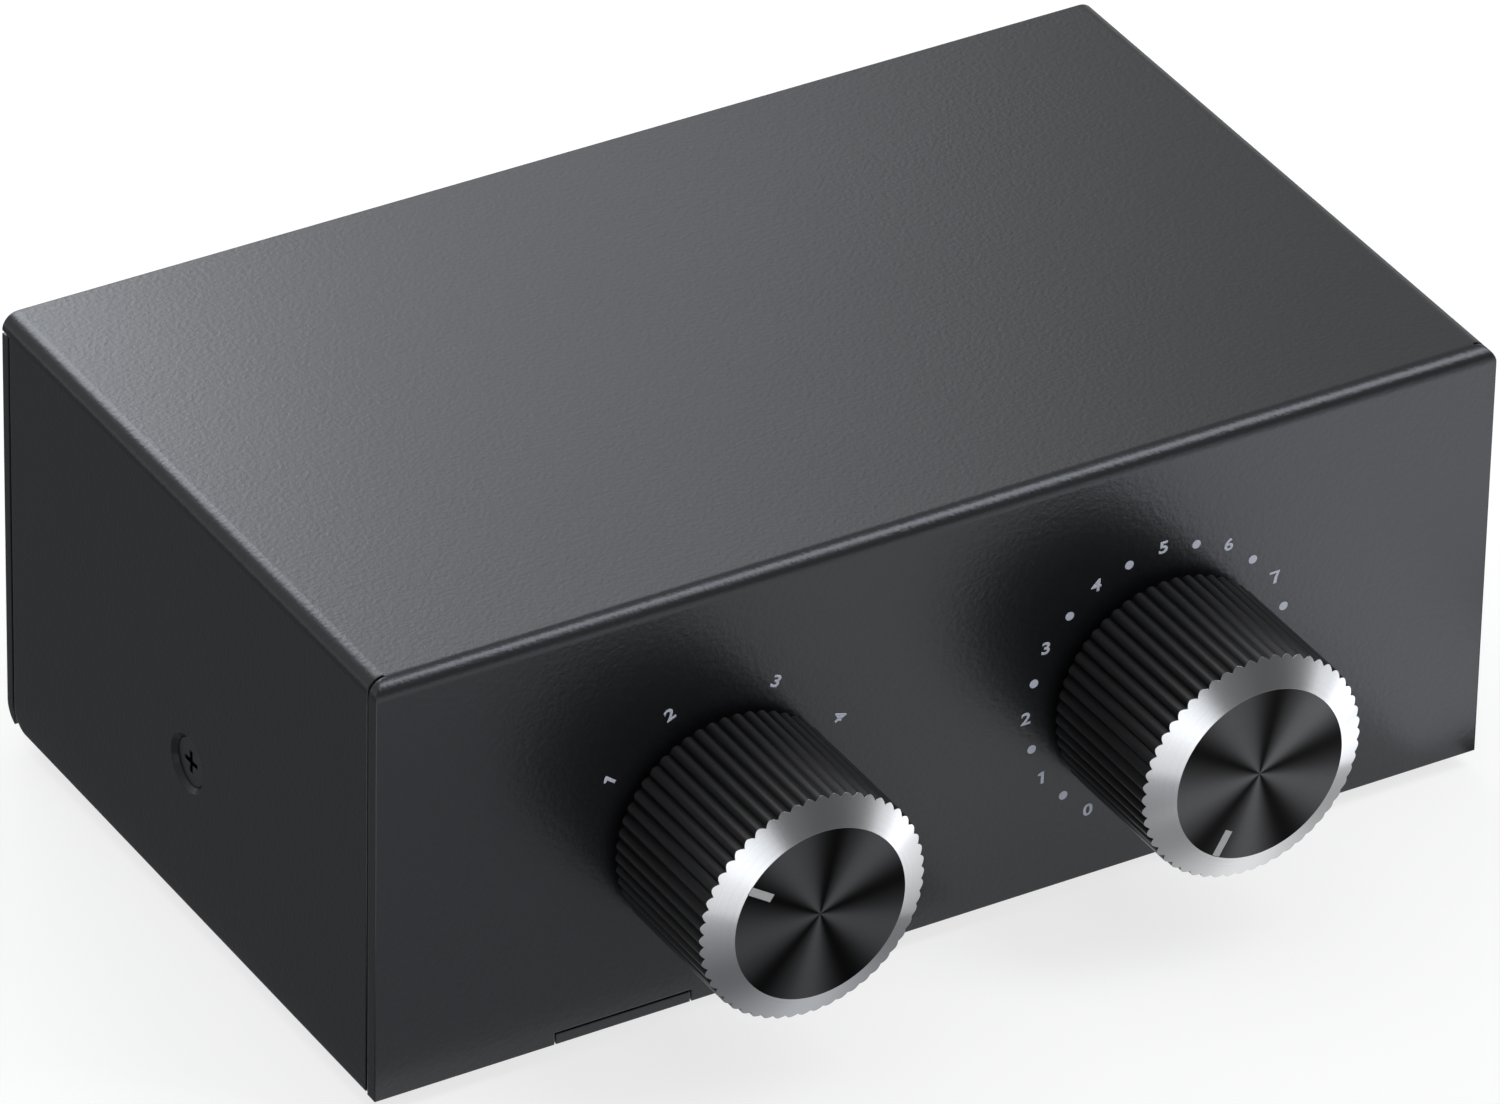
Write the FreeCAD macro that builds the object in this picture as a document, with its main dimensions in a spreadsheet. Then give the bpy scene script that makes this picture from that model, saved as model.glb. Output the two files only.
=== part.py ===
import FreeCAD, Part
import math
import os
from types import SimpleNamespace

import Sketcher

# A four-way stereo source selector: a folded sheet box with a rotary switch and a volume
# control on its front and five pairs of phono sockets on its rear wall.
# X runs to the right, Y to the rear and Z up. The origin lies under the middle of the whole
# object, knobs and sockets included, on the surface that its feet stand on.

# Driving sizes: name, millimetres or degrees or a count, meaning
SIZES = [
    ("case_width", 128, "box, outside"),
    ("case_depth", 77, "box, outside, front face to rear face"),
    ("case_height", 48.5, "box, outside, without feet"),
    ("cover_sheet", 1.5, "thickness of the folded cover"),
    ("cover_bend_inside", 0.3, "inside radius of the cover's folds"),
    ("base_sheet", 1.2, "thickness of the base chassis"),
    ("rear_bend_inside", 1.3, "inside radius of the fold between bottom and rear wall"),
    ("corner_gap", 0.35, "open seam at the folded corners"),
    ("sheet_gap", 0.3, "cover over chassis, each side"),
    ("side_lift", 0.2, "side flaps end this far above the front flap"),
    ("tab_centre", 36, "front tab of the base, from the middle"),
    ("tab_width", 15.2, "front tab of the base"),
    ("tab_gap", 0.2, "clearance round a front tab in its notch"),
    ("foot_radius", 5, "rubber foot at the base"),
    ("foot_height", 2, "rubber foot"),
    ("foot_inset", 13, "foot centre from the box's sides"),
    ("foot_inset_end", 11.5, "foot centre from the front and rear faces"),
    ("foot_draft", 12, "slope of a foot's side"),
    ("lug_width", 12, "side lug, along the box"),
    ("lug_above", 5.8, "side lug above its screw"),
    ("lug_bend_inside", 0.8, "inside radius of the lug's fold"),
    ("lug_relief", 1, "slot beside the lug's fold"),
    ("lug_collar", 1, "drawn collar round the tapped hole, length and wall"),
    ("side_screw_height", 17.2, "side screw above the bottom"),
    ("side_screw_length", 6, "side screw, overall"),
    ("dimple_radius", 3.25, "countersink in the side flap"),
    ("screw_radius", 1.5, "thread of every screw"),
    ("thread_gap", 0.05, "screw in its tapped hole, nut on its bushing"),
    ("screw_head_radius", 2.75, "head of every screw"),
    ("screw_head_height", 1.8, "pan head"),
    ("screw_length", 5, "pan-head screw past the sheet or board that it clamps"),
    ("hole_gap", 0.2, "screw in a plain hole"),
    ("hole_depth_spare", 2, "blind hole past the end of its screw"),
    ("recess_width", 0.6, "arm of a cross recess"),
    ("recess_span", 2.6, "cross recess, tip to tip"),
    ("recess_depth", 1.1, "cross recess"),
    ("standoff_radius", 2.75, "board standoff"),
    ("standoff_height", 6, "board standoff"),
    ("spigot_radius", 2.1, "standoff foot pressed into the bottom"),
    ("board_thickness", 1.6, "main board"),
    ("board_margin", 4.2, "board edge inside the side flaps"),
    ("board_end_gap", 1, "board edge from the front flap and the rear wall"),
    ("board_hole_side", 8, "board screw from the board's side edge"),
    ("board_hole_front", 18, "board screw from the board's front edge"),
    ("board_hole_rear", 3.25, "board screw's head before the sockets' terminals"),
    ("pin_width", 0.8, "terminal"),
    ("pin_thickness", 0.5, "terminal"),
    ("pin_gap", 0.15, "terminal in its board hole"),
    ("pin_through", 1.2, "terminals stand out under the board"),
    ("control_spacing", 50.4, "switch shaft to volume shaft"),
    ("control_height", 21, "shafts above the bottom"),
    ("knob_radius", 12.7, "knob, over the ribs"),
    ("knob_reach", 19.1, "knob face from the front panel"),
    ("knob_gap", 1, "knob's rear edge from the front panel"),
    ("bevel_width", 3.1, "bright cut bevel, across the face"),
    ("bevel_depth", 1.6, "bright cut bevel, along the shaft"),
    ("rib_count", 54, "ribs round a knob"),
    ("rib_height", 0.36, "rib above its valley"),
    ("rib_share", 0.92, "part of the pitch that a rib takes"),
    ("knob_wall", 1.7, "shell wall under the ribs"),
    ("knob_face_thickness", 1.8, "shell at the face"),
    ("core_gap", 0.1, "moulded core in the metal shell"),
    ("core_sleeve", 1.3, "core's outer sleeve"),
    ("core_web", 2, "core's disc"),
    ("core_hub_radius", 5, "core's hub round the shaft"),
    ("core_rib", 1.2, "core's ribs"),
    ("core_rib_count", 6, "ribs in a core"),
    ("core_set_back", 1, "core behind the shell's edge, ribs behind the hub's end"),
    ("hub_gap", 0.7, "hub before the end of the bushing"),
    ("shaft_end_gap", 0.2, "shaft from the bottom of the core's bore"),
    ("pointer_length", 3, "pointer line in a knob's face"),
    ("pointer_width", 0.9, "pointer line"),
    ("pointer_depth", 0.3, "groove that holds the pointer line"),
    ("switch_start", -56.5, "switch pointer at position one, clockwise from the top"),
    ("switch_step", 39, "one switch position"),
    ("switch_positions", 4, "positions of the switch"),
    ("volume_start", -150, "volume pointer at nought, clockwise from the top"),
    ("volume_travel", 300, "volume control, stop to stop"),
    ("shaft_radius", 3, "both shafts"),
    ("shaft_flat", 1.5, "flat of a shaft, from its axis"),
    ("shaft_tail_radius", 2.5, "shaft inside the rotors"),
    ("shaft_gap", 0.05, "shaft in its bushing"),
    ("grip_gap", 0.03, "shaft in a knob core or rotor"),
    ("fit_gap", 0.05, "fixed pieces pushed into each other"),
    ("running_gap", 0.3, "moving pieces from fixed ones"),
    ("bushing_length", 6, "threaded bushing from its mounting face"),
    ("switch_bushing_radius", 4.5, "switch bushing thread"),
    ("pot_bushing_radius", 3.5, "volume control bushing thread"),
    ("panel_gap", 0.1, "bushing and locating pin in the panel's holes"),
    ("locator_radius", 1.2, "locating pin beside a bushing"),
    ("locator_edge", 0.2, "locating pin inside the control's edge"),
    ("washer_thickness", 0.5, "washer under a bushing nut"),
    ("washer_margin", 3, "washer beyond its hole"),
    ("nut_thickness", 2, "bushing nut"),
    ("nut_margin", 1.5, "bushing nut, flat beyond its bushing"),
    ("stop_angle", 24, "width of a stop tooth"),
    ("stop_height", 1.4, "stop tooth above its rotor"),
    ("stop_gap", 2.5, "degrees left between a tooth and its stop"),
    ("chamber_gap", 0.4, "rotor and tooth in their chamber, all round"),
    ("rotor_thickness", 2, "contact rotor and volume rotors"),
    ("wiper_thickness", 0.3, "contact wipers"),
    ("wiper_width", 1.2, "contact wipers, ring and fingers"),
    ("switch_width", 18, "switch frame and housing, square"),
    ("switch_plate", 1.6, "switch frame's plate"),
    ("switch_edge", 0.75, "switch frame's wall under the detent spring"),
    ("detent_depth", 3, "detent chamber"),
    ("notch_radius", 0.9, "detent notch in the wheel"),
    ("ball_radius", 1, "detent ball"),
    ("ball_lift", 0.25, "ball over the wheel's rim"),
    ("spring_thickness", 0.3, "detent spring"),
    ("spring_length", 6, "detent spring"),
    ("housing_depth", 6, "switch housing"),
    ("housing_wall", 1.2, "switch housing, rotor's hub round the shaft"),
    ("rotor_gap", 2, "contact rotor inside the switch housing, all round"),
    ("switch_pin_pitch", 3, "switch terminals, side to side"),
    ("switch_row_pitch", 3, "switch terminals, row to row"),
    ("switch_pin_count", 5, "switch terminals in a row"),
    ("switch_row_count", 2, "rows of switch terminals"),
    ("pot_radius", 8.4, "volume control body"),
    ("pot_plate", 1.2, "volume control frame's plate"),
    ("pot_wall", 1, "volume control frame's rim"),
    ("pot_chamber", 3, "each rotor's chamber"),
    ("wafer_thickness", 1.5, "resistance wafer"),
    ("tongue_margin", 1.6, "wafer's tongue beside its outer terminals"),
    ("tongue_clear", 0.8, "wafer tongue above the board"),
    ("can_wall", 0.5, "volume control can"),
    ("pot_pin_pitch", 5, "volume terminals, side to side"),
    ("pot_pin_count", 3, "volume terminals in a row"),
    ("jack_count", 5, "socket pairs in a row"),
    ("jack_inset", 20, "outer socket pairs from the box's sides"),
    ("jack_low", 6.5, "lower socket above the board"),
    ("jack_rise", 16, "lower socket to upper socket"),
    ("jack_width", 16, "socket housing"),
    ("jack_depth", 12.5, "socket housing"),
    ("jack_head", 7.5, "housing above the upper socket"),
    ("collar_wall", 0.55, "housing collar round the sleeve's root"),
    ("collar_reach", 0.6, "collar beyond the rear wall"),
    ("collar_gap", 0.2, "collar in the rear wall"),
    ("sleeve_radius", 4.15, "outside of a phono socket"),
    ("sleeve_wall", 0.5, "phono socket sleeve"),
    ("sleeve_step", 0.2, "sleeve's thicker root in the housing"),
    ("sleeve_reach", 9.5, "sleeve beyond the rear wall"),
    ("sleeve_root", 5, "sleeve, insert and contact inside the wall"),
    ("insert_recess", 0.9, "insert inside the sleeve's mouth"),
    ("contact_radius", 2, "centre contact, outside"),
    ("contact_bore", 1.6, "centre contact, inside"),
    ("contact_recess", 1, "centre contact behind the insert's face"),
    ("tool_gap", 1, "cuts run this far past what they cut"),
]

doc = FreeCAD.newDocument("SourceSelector")
sheet = doc.addObject("Spreadsheet::Sheet", "Sizes")
for row, (name, value, meaning) in enumerate(SIZES, 1):
    sheet.set(f"A{row}", name)
    sheet.set(f"B{row}", str(value))
    sheet.setAlias(f"B{row}", name)
    sheet.set(f"C{row}", meaning)
doc.recompute()


class Size:
    """A number together with the sheet expression that gives it."""

    def __init__(self, text, number):
        self.text = text
        self.number = number

    def __add__(self, other):
        return joined(self, "+", other, self.number + number_of(other))

    def __radd__(self, other):
        return self + other

    def __sub__(self, other):
        return joined(self, "-", other, self.number - number_of(other))

    def __rsub__(self, other):
        return joined(other, "-", self, number_of(other) - self.number)

    def __mul__(self, other):
        return joined(self, "*", other, self.number * number_of(other))

    def __rmul__(self, other):
        return self * other

    def __truediv__(self, other):
        return joined(self, "/", other, self.number / number_of(other))

    def __rtruediv__(self, other):
        return joined(other, "/", self, number_of(other) / self.number)

    def __neg__(self):
        return Size(f"-({self.text})", -self.number)


def number_of(size):
    return size.number if isinstance(size, Size) else float(size)


def text_of(size):
    return size.text if isinstance(size, Size) else repr(size)


def joined(left, sign, right, number):
    return Size(f"({text_of(left)} {sign} {text_of(right)})", number)


def along(angle, radius):
    """Distance upwards to a point at an angle clockwise from the top."""
    return Size(f"({text_of(radius)} * cos({text_of(angle)}))",
                number_of(radius) * math.cos(math.radians(number_of(angle))))


def across(angle, radius):
    """Distance to the right to a point at an angle clockwise from the top."""
    return Size(f"({text_of(radius)} * sin({text_of(angle)}))",
                number_of(radius) * math.sin(math.radians(number_of(angle))))


def bind(target, path, size):
    """Tie a property to the sheet, or just set it when its size is a plain number."""
    if isinstance(size, Size) or "." in path:
        target.setExpression(path, text_of(size))
    else:
        setattr(target, path, size)


s = SimpleNamespace(**{name: Size(f"Sizes.{name}", value) for name, value, meaning in SIZES})

# Places and sizes that several pieces share
half_width = s.case_width / 2
front = -s.case_depth / 2
rear = s.case_depth / 2
panel_back = front + s.cover_sheet
wall_front = rear - s.base_sheet
side_front = panel_back + s.corner_gap
side_rear = wall_front - s.corner_gap
cover_bend = s.cover_sheet + s.cover_bend_inside
rear_bend = s.base_sheet + s.rear_bend_inside
lug_bend = s.base_sheet + s.lug_bend_inside
fold_line = s.case_height - cover_bend
wall_top = fold_line - s.corner_gap
chassis_front = panel_back + s.sheet_gap
chassis_side = half_width - s.cover_sheet - s.sheet_gap
board_underside = s.base_sheet + s.standoff_height
board_top = board_underside + s.board_thickness
board_side = half_width - s.cover_sheet - s.board_margin
board_front = panel_back + s.board_end_gap
board_rear = wall_front - s.board_end_gap
board_drop = s.control_height - board_top
pin_end = board_drop + s.board_thickness + s.pin_through
plain_hole = s.screw_radius + s.hole_gap
tapped_hole = s.screw_radius + s.thread_gap
jack_span = s.case_width - s.jack_inset * 2
first_jack = -jack_span / 2
sleeve_root_radius = s.sleeve_radius + s.sleeve_step
collar_radius = sleeve_root_radius + s.collar_wall
tail_middle = -(s.base_sheet + s.jack_depth + s.running_gap + s.pin_thickness / 2)

# Where a piece's own origin lies in the part
shift = (s.knob_reach - s.sleeve_reach) / 2
CASE = (0, shift, s.foot_height)
SWITCH = (-s.control_spacing / 2, shift + front, s.foot_height + s.control_height)
VOLUME = (s.control_spacing / 2, shift + front, s.foot_height + s.control_height)

# Which way the outward normal of each origin plane points along its axis
PLANE_SIGN = {"XY": 1, "XZ": -1, "YZ": 1}

pieces = []


def placed(feature, label, place, turn=None):
    """Name a sub-part and put it in its place; a turn is about the shaft, clockwise."""
    feature.Label = label
    if turn is not None:
        rotation = FreeCAD.Rotation(FreeCAD.Vector(0, 1, 0), number_of(turn))
        feature.Placement = FreeCAD.Placement(FreeCAD.Vector(), rotation)
        bind(feature, "Placement.Rotation.Angle", turn)
    for letter, size in zip("xyz", place):
        bind(feature, f"Placement.Base.{letter}", size)
    pieces.append(feature)
    return feature


class Piece:
    """One body of the assembly, with short names for the features that it is built from."""

    def __init__(self, label, place, turn=None):
        self.body = placed(doc.addObject("PartDesign::Body", label), label, place, turn)
        self.body.AllowCompound = True

    def origin(self, role):
        return next(f for f in self.body.Origin.OriginFeatures if f.Role == role)

    def drawing(self, plane, outlines, at, centre):
        """A sketch on an origin plane, moved along the plane's axis and within the plane."""
        sketch = self.body.newObject("Sketcher::SketchObject", "Drawing")
        sketch.AttachmentSupport = [(self.origin(f"{plane}_Plane"), "")]
        sketch.MapMode = "FlatFace"
        offset = (centre[0], centre[1], at * PLANE_SIGN[plane])
        for letter, size in zip("xyz", offset):
            bind(sketch, f"AttachmentOffset.Base.{letter}", size)
        draw(sketch, outlines)
        sketch.Visibility = False
        return sketch

    def feature(self, kind, **settings):
        made = self.body.newObject(f"PartDesign::{kind}", kind)
        for name, value in settings.items():
            bind(made, name, value)
        return made

    def cutting(self, kind, **settings):
        """A feature that takes material away; stop if it removes nothing."""
        doc.recompute()
        before = self.body.Shape.Volume
        made = self.feature(kind, **settings)
        doc.recompute()
        if not made.Shape.Volume < before * (1 - 1e-9):
            raise RuntimeError(f"a {kind} removes nothing from {self.body.Label}")
        return made

    def pad(self, plane, outlines, length, at=0, way=1, centre=(0, 0)):
        """Add a thickness, towards the axis's plus end, its minus end or, with 0, both."""
        return self.feature(
            "Pad", Profile=self.drawing(plane, outlines, at, centre), Length=length,
            SideType="One side" if way else "Symmetric", Reversed=way != PLANE_SIGN[plane])

    def pocket(self, plane, outlines, length, at=0, way=1, centre=(0, 0)):
        """Cut a thickness away, in the same directions as for a pad."""
        return self.cutting(
            "Pocket", Profile=self.drawing(plane, outlines, at, centre), Length=length,
            SideType="One side" if way else "Symmetric", Reversed=way == PLANE_SIGN[plane])

    def turning(self, profile, axis, centre):
        """The settings that turn a profile of (along, radius) points about an axis."""
        line = "H_Axis"
        if axis == "Z":
            profile = [(radius, height, *(-r for r in arc)) for height, radius, *arc in profile]
            line = "V_Axis"
        sketch = self.drawing("YZ" if axis == "Y" else "XZ", [profile], 0, centre)
        return {"Profile": sketch, "ReferenceAxis": (sketch, [line]), "Angle": 360.0}

    def turned(self, profile, axis="Y", centre=(0, 0)):
        return self.feature("Revolution", **self.turning(profile, axis, centre))

    def turned_away(self, profile, axis="Y", centre=(0, 0)):
        return self.cutting("Groove", **self.turning(profile, axis, centre))

    def repeated(self, features, kind, **settings):
        made = self.feature(kind, Originals=features, **settings)
        self.body.Tip = made
        return made

    def mirrored(self, features):
        """Repeat features on the other side of the box's middle."""
        return self.repeated(features, "Mirrored", MirrorPlane=(self.origin("YZ_Plane"), [""]))

    def in_a_row(self, features, span, count):
        """Repeat features in a row along X that has this length."""
        return self.repeated(features, "LinearPattern", Mode="Extent", Length=span,
                             Direction=(self.origin("X_Axis"), [""]), Occurrences=count)

    def in_a_grid(self, features, span, count, second_span, second_count):
        """Repeat features in a row along X, and that row along Y."""
        made = self.in_a_row(features, span, count)
        made.Direction2 = (self.origin("Y_Axis"), [""])
        made.Mode2 = "Extent"
        bind(made, "Length2", second_span)
        bind(made, "Occurrences2", second_count)
        return made

    def in_a_ring(self, features, count):
        """Repeat features right round the shaft."""
        return self.repeated(features, "PolarPattern", Axis=(self.origin("Y_Axis"), [""]),
                             Angle=360.0, Occurrences=count)


def arc_centre(start, end, radius):
    """The middle of the arc from start to end that turns left, or right for a minus radius."""
    chord = end - start
    half = chord.Length / 2
    side = FreeCAD.Vector(-chord.y, chord.x, 0).normalize()
    rise = math.sqrt(max(radius * radius - half * half, 0))
    return start + chord / 2 + side * (rise if radius > 0 else -rise)


def draw(sketch, outlines):
    """Draw closed outlines: a circle is (across, up, radius), any other a list of corners.

    A corner is (across, up), or (across, up, radius) when an arc leads to it.
    """
    flat = FreeCAD.Vector(0, 0, 1)
    shapes, rules, ties = [], [], []

    def rule(size, *wanted):
        """Note a rule that holds a size, and the sheet expression that it follows."""
        rules.append(Sketcher.Constraint(*wanted, number_of(size)))
        if isinstance(size, Size):
            ties.append((len(rules) - 1, size.text))

    def hold(shape, point, place):
        rule(place[0], "DistanceX", -1, 1, shape, point)
        rule(place[1], "DistanceY", -1, 1, shape, point)

    for outline in outlines:
        if isinstance(outline, tuple):
            middle = FreeCAD.Vector(number_of(outline[0]), number_of(outline[1]), 0)
            shapes.append(Part.Circle(middle, flat, number_of(outline[2])))
            hold(len(shapes) - 1, 3, outline)
            rule(outline[2], "Radius", len(shapes) - 1)
            continue
        spots = [FreeCAD.Vector(number_of(c[0]), number_of(c[1]), 0) for c in outline]
        base = len(shapes)
        ends = []
        for index, corner in enumerate(outline):
            start, end = spots[index - 1], spots[index]
            if len(corner) == 2:
                shapes.append(Part.LineSegment(start, end))
                ends.append((1, 2))
                continue
            radius = number_of(corner[2])
            centre = arc_centre(start, end, radius)
            first, last = (start, end) if radius > 0 else (end, start)
            circle = Part.Circle(centre, flat, abs(radius))
            shapes.append(Part.ArcOfCircle(
                circle,
                math.atan2(first.y - centre.y, first.x - centre.x),
                math.atan2(last.y - centre.y, last.x - centre.x),
            ))
            ends.append((1, 2) if radius > 0 else (2, 1))
            rule(corner[2] if radius > 0 else -corner[2], "Radius", base + index)
        for index, (first, last) in enumerate(ends):
            following = (index + 1) % len(ends)
            rules.append(Sketcher.Constraint(
                "Coincident", base + index, last, base + following, ends[following][0]))
            hold(base + index, last, outline[index])
    sketch.addGeometry(shapes)
    sketch.addConstraint(rules)
    for number, text in ties:
        sketch.setExpression(f"Constraints[{number}]", text)


def rectangle(left, low, right, high):
    return [(left, low), (right, low), (right, high), (left, high)]


def both_sides(outline_of):
    """The outline on the right and its mirror image on the left."""
    return [outline_of(1), outline_of(-1)]


def sector(start, end, radius):
    """A pie-shaped outline from one clockwise angle to another, less than a full turn."""
    sweep = (end - start) / 3
    edge = [(across(start + sweep * n, radius), along(start + sweep * n, radius), -radius)
            for n in range(4)]
    return [(0, 0), edge[0][:2], *edge[1:]]


def d_section(radius, flat):
    """A round section with one flat on top."""
    half = Size(f"sqrt({text_of(radius)} * {text_of(radius)} - {text_of(flat)} * {text_of(flat)})",
                math.sqrt(number_of(radius) ** 2 - number_of(flat) ** 2))
    return [(half, flat, radius), (-half, flat), (0, -radius, radius)]


def pin_outline(x, y, gap):
    """A terminal's outline in plan, with a gap round it."""
    wide, thin = s.pin_width / 2 + gap, s.pin_thickness / 2 + gap
    return rectangle(x - wide, y - thin, x + wide, y + thin)


# The sheet box


def build_cover():
    """Top, sides and front flap from one sheet, open at the folded corners."""
    cover = Piece("cover", CASE)
    top, sheet_t = s.case_height, s.cover_sheet
    inner = half_width - sheet_t
    flat_half = half_width - cover_bend
    outside = half_width + s.tool_gap
    cover.pad("YZ", [[
        (front, 0),
        (panel_back, 0),
        (panel_back, fold_line),
        (front + cover_bend, top - sheet_t, -s.cover_bend_inside),
        (front + cover_bend, top),
        (front, fold_line, cover_bend),
    ]], s.case_width, way=0)
    cover.pocket("XZ", both_sides(lambda side: [
        (side * flat_half, top),
        (side * half_width, fold_line, -side * cover_bend),
        (side * outside, fold_line),
        (side * outside, top + s.tool_gap),
        (side * flat_half, top + s.tool_gap),
    ]), cover_bend + s.tool_gap, at=front - s.tool_gap)
    cover.pad("XZ", [[
        (-half_width, s.side_lift),
        (-inner, s.side_lift),
        (-inner, fold_line),
        (-flat_half, top - sheet_t, -s.cover_bend_inside),
        (flat_half, top - sheet_t),
        (inner, fold_line, -s.cover_bend_inside),
        (inner, s.side_lift),
        (half_width, s.side_lift),
        (half_width, fold_line),
        (flat_half, top, cover_bend),
        (-flat_half, top),
        (-half_width, fold_line, cover_bend),
    ]], rear - front - cover_bend, at=front + cover_bend)
    cover.pocket("XY", both_sides(lambda side: rectangle(
        side * flat_half, panel_back, side * outside, side_front)), top + s.tool_gap)
    corner = rear_bend - s.side_lift
    cover.pocket("YZ", [[
        (side_rear, fold_line),
        (side_rear, rear_bend),
        (side_rear - corner, s.side_lift, -corner),
        (side_rear - corner, -s.tool_gap),
        (rear + s.tool_gap, -s.tool_gap),
        (rear + s.tool_gap, fold_line),
    ]], outside * 2, way=0)
    reach = s.tab_width / 2 + s.tab_gap
    through = sheet_t + s.tool_gap * 2
    cover.pocket("XZ", both_sides(lambda side: rectangle(
        side * (s.tab_centre - reach), -s.tool_gap,
        side * (s.tab_centre + reach), s.base_sheet + s.tab_gap)),
        through, at=front - s.tool_gap)
    holes = []
    for side, bushing, control_half in ((-1, s.switch_bushing_radius, s.switch_width / 2),
                                        (1, s.pot_bushing_radius, s.pot_radius)):
        middle = side * s.control_spacing / 2
        holes.append((middle, s.control_height, bushing + s.panel_gap))
        holes.append((middle, s.control_height + locator_offset(control_half),
                      s.locator_radius + s.panel_gap))
    cover.pocket("XZ", holes, through, at=front - s.tool_gap)
    cone_end = half_width - (s.dimple_radius - plain_hole)
    countersink = cover.turned_away([
        (inner - s.tool_gap, 0),
        (outside, 0),
        (outside, s.dimple_radius + s.tool_gap),
        (cone_end, plain_hole),
        (inner - s.tool_gap, plain_hole),
    ], axis="X", centre=(0, s.side_screw_height))
    cover.mirrored([countersink])


def build_base_chassis():
    """Bottom and rear wall from one sheet, with two front tabs and two side lugs."""
    base = Piece("base_chassis", CASE)
    sheet_t = s.base_sheet
    outside = half_width + s.tool_gap
    base.pad("YZ", [[
        (chassis_front, 0),
        (rear - rear_bend, 0),
        (rear, rear_bend, rear_bend),
        (rear, wall_top),
        (wall_front, wall_top),
        (wall_front, rear_bend),
        (rear - rear_bend, sheet_t, -s.rear_bend_inside),
        (chassis_front, sheet_t),
    ]], s.case_width, way=0)
    base.pocket("XY", both_sides(lambda side: rectangle(
        side * chassis_side, chassis_front - s.tool_gap, side * outside, side_rear)),
        wall_top + s.tool_gap, at=-s.tool_gap)
    slot = s.lug_width / 2 + s.lug_relief
    through = sheet_t + s.tool_gap * 2
    base.pocket("XY", both_sides(lambda side: rectangle(
        side * (chassis_side - lug_bend), -slot, side * outside, slot)),
        through, at=-s.tool_gap)
    base.pad("XY", both_sides(lambda side: rectangle(
        side * (s.tab_centre - s.tab_width / 2), front,
        side * (s.tab_centre + s.tab_width / 2), chassis_front)), sheet_t)
    lug_top = s.side_screw_height + s.lug_above
    lug_inside = chassis_side - sheet_t
    base.pad("XZ", both_sides(lambda side: [
        (side * (chassis_side - lug_bend), 0),
        (side * chassis_side, lug_bend, side * lug_bend),
        (side * chassis_side, lug_top),
        (side * lug_inside, lug_top),
        (side * lug_inside, lug_bend),
        (side * (chassis_side - lug_bend), sheet_t, -side * s.lug_bend_inside),
    ]), s.lug_width, way=0)
    collar = base.turned([
        (lug_inside - s.lug_collar, 0),
        (lug_inside + sheet_t / 2, 0),
        (lug_inside + sheet_t / 2, tapped_hole + s.lug_collar),
        (lug_inside - s.lug_collar, tapped_hole + s.lug_collar),
    ], axis="X", centre=(0, s.side_screw_height))
    base.mirrored([collar])
    base.pocket("YZ", [(0, s.side_screw_height, tapped_hole)], s.case_width, way=0)
    base.pocket("XY", [(x, y, s.spigot_radius + s.fit_gap) for x, y in board_screw_places()],
                through, at=-s.tool_gap)
    socket_hole = collar_radius + s.collar_gap
    lower = board_top + s.jack_low
    holes = base.pocket("XZ", [
        (first_jack, lower, socket_hole),
        (first_jack, lower + s.jack_rise / 2, plain_hole),
        (first_jack, lower + s.jack_rise, socket_hole),
    ], through, at=wall_front - s.tool_gap)
    base.in_a_row([holes], jack_span, s.jack_count)


def build_side_screws():
    """A countersunk cross-head screw in each side, a little below the paint."""
    x, y, z = CASE
    screws = Piece("side_screws", (x, y, z + s.side_screw_height))
    head = half_width - (s.dimple_radius - s.screw_head_radius)
    rim = s.screw_head_radius - s.thread_gap
    body = screws.turned([
        (head - s.side_screw_length, 0),
        (head, 0),
        (head, rim),
        (head - (rim - s.screw_radius), s.screw_radius),
        (head - s.side_screw_length, s.screw_radius),
    ], axis="X")
    recess = cross_recess(screws, "YZ", head)
    screws.mirrored([body, recess])


def build_rubber_feet():
    """Four round feet glued under the bottom."""
    feet = Piece("rubber_feet", CASE)
    x = half_width - s.foot_inset
    y = rear - s.foot_inset_end
    places = [(side * x, end * y, s.foot_radius) for side in (-1, 1) for end in (-1, 1)]
    pad = feet.pad("XY", places, s.foot_height, way=-1)
    bind(pad, "TaperAngle", -s.foot_draft)


# Screws and the board


def cross_recess(piece, plane, at):
    """A cross recess sunk into a screw head, centred on the plane's origin."""
    arm, reach = s.recess_width / 2, s.recess_span / 2
    return piece.pocket(plane, [[
        (-reach, -arm), (-arm, -arm), (-arm, -reach), (arm, -reach), (arm, -arm), (reach, -arm),
        (reach, arm), (arm, arm), (arm, reach), (-arm, reach), (-arm, arm), (-reach, arm),
    ]], s.recess_depth, at=at, way=-1)


def pan_head_profile(length):
    """A screw with a rounded head, from its tip to its head along the axis."""
    half_head = s.screw_head_height / 2
    return [
        (-length, 0),
        (s.screw_head_height, 0),
        (s.screw_head_height, s.screw_head_radius - half_head),
        (half_head, s.screw_head_radius, -half_head),
        (0, s.screw_head_radius),
        (0, s.screw_radius),
        (-length, s.screw_radius),
    ]


def board_screw_rows():
    """Where the board screws stand: from left to right, and from front to rear."""
    x = board_side - s.board_hole_side
    near = board_front + s.board_hole_front
    tail_front = rear + tail_middle - s.pin_thickness / 2
    far = tail_front - s.board_hole_rear - s.screw_head_radius
    return (-x, x), (near, far)


def board_screw_places():
    xs, ys = board_screw_rows()
    return [(x, y) for x in xs for y in ys]


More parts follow.
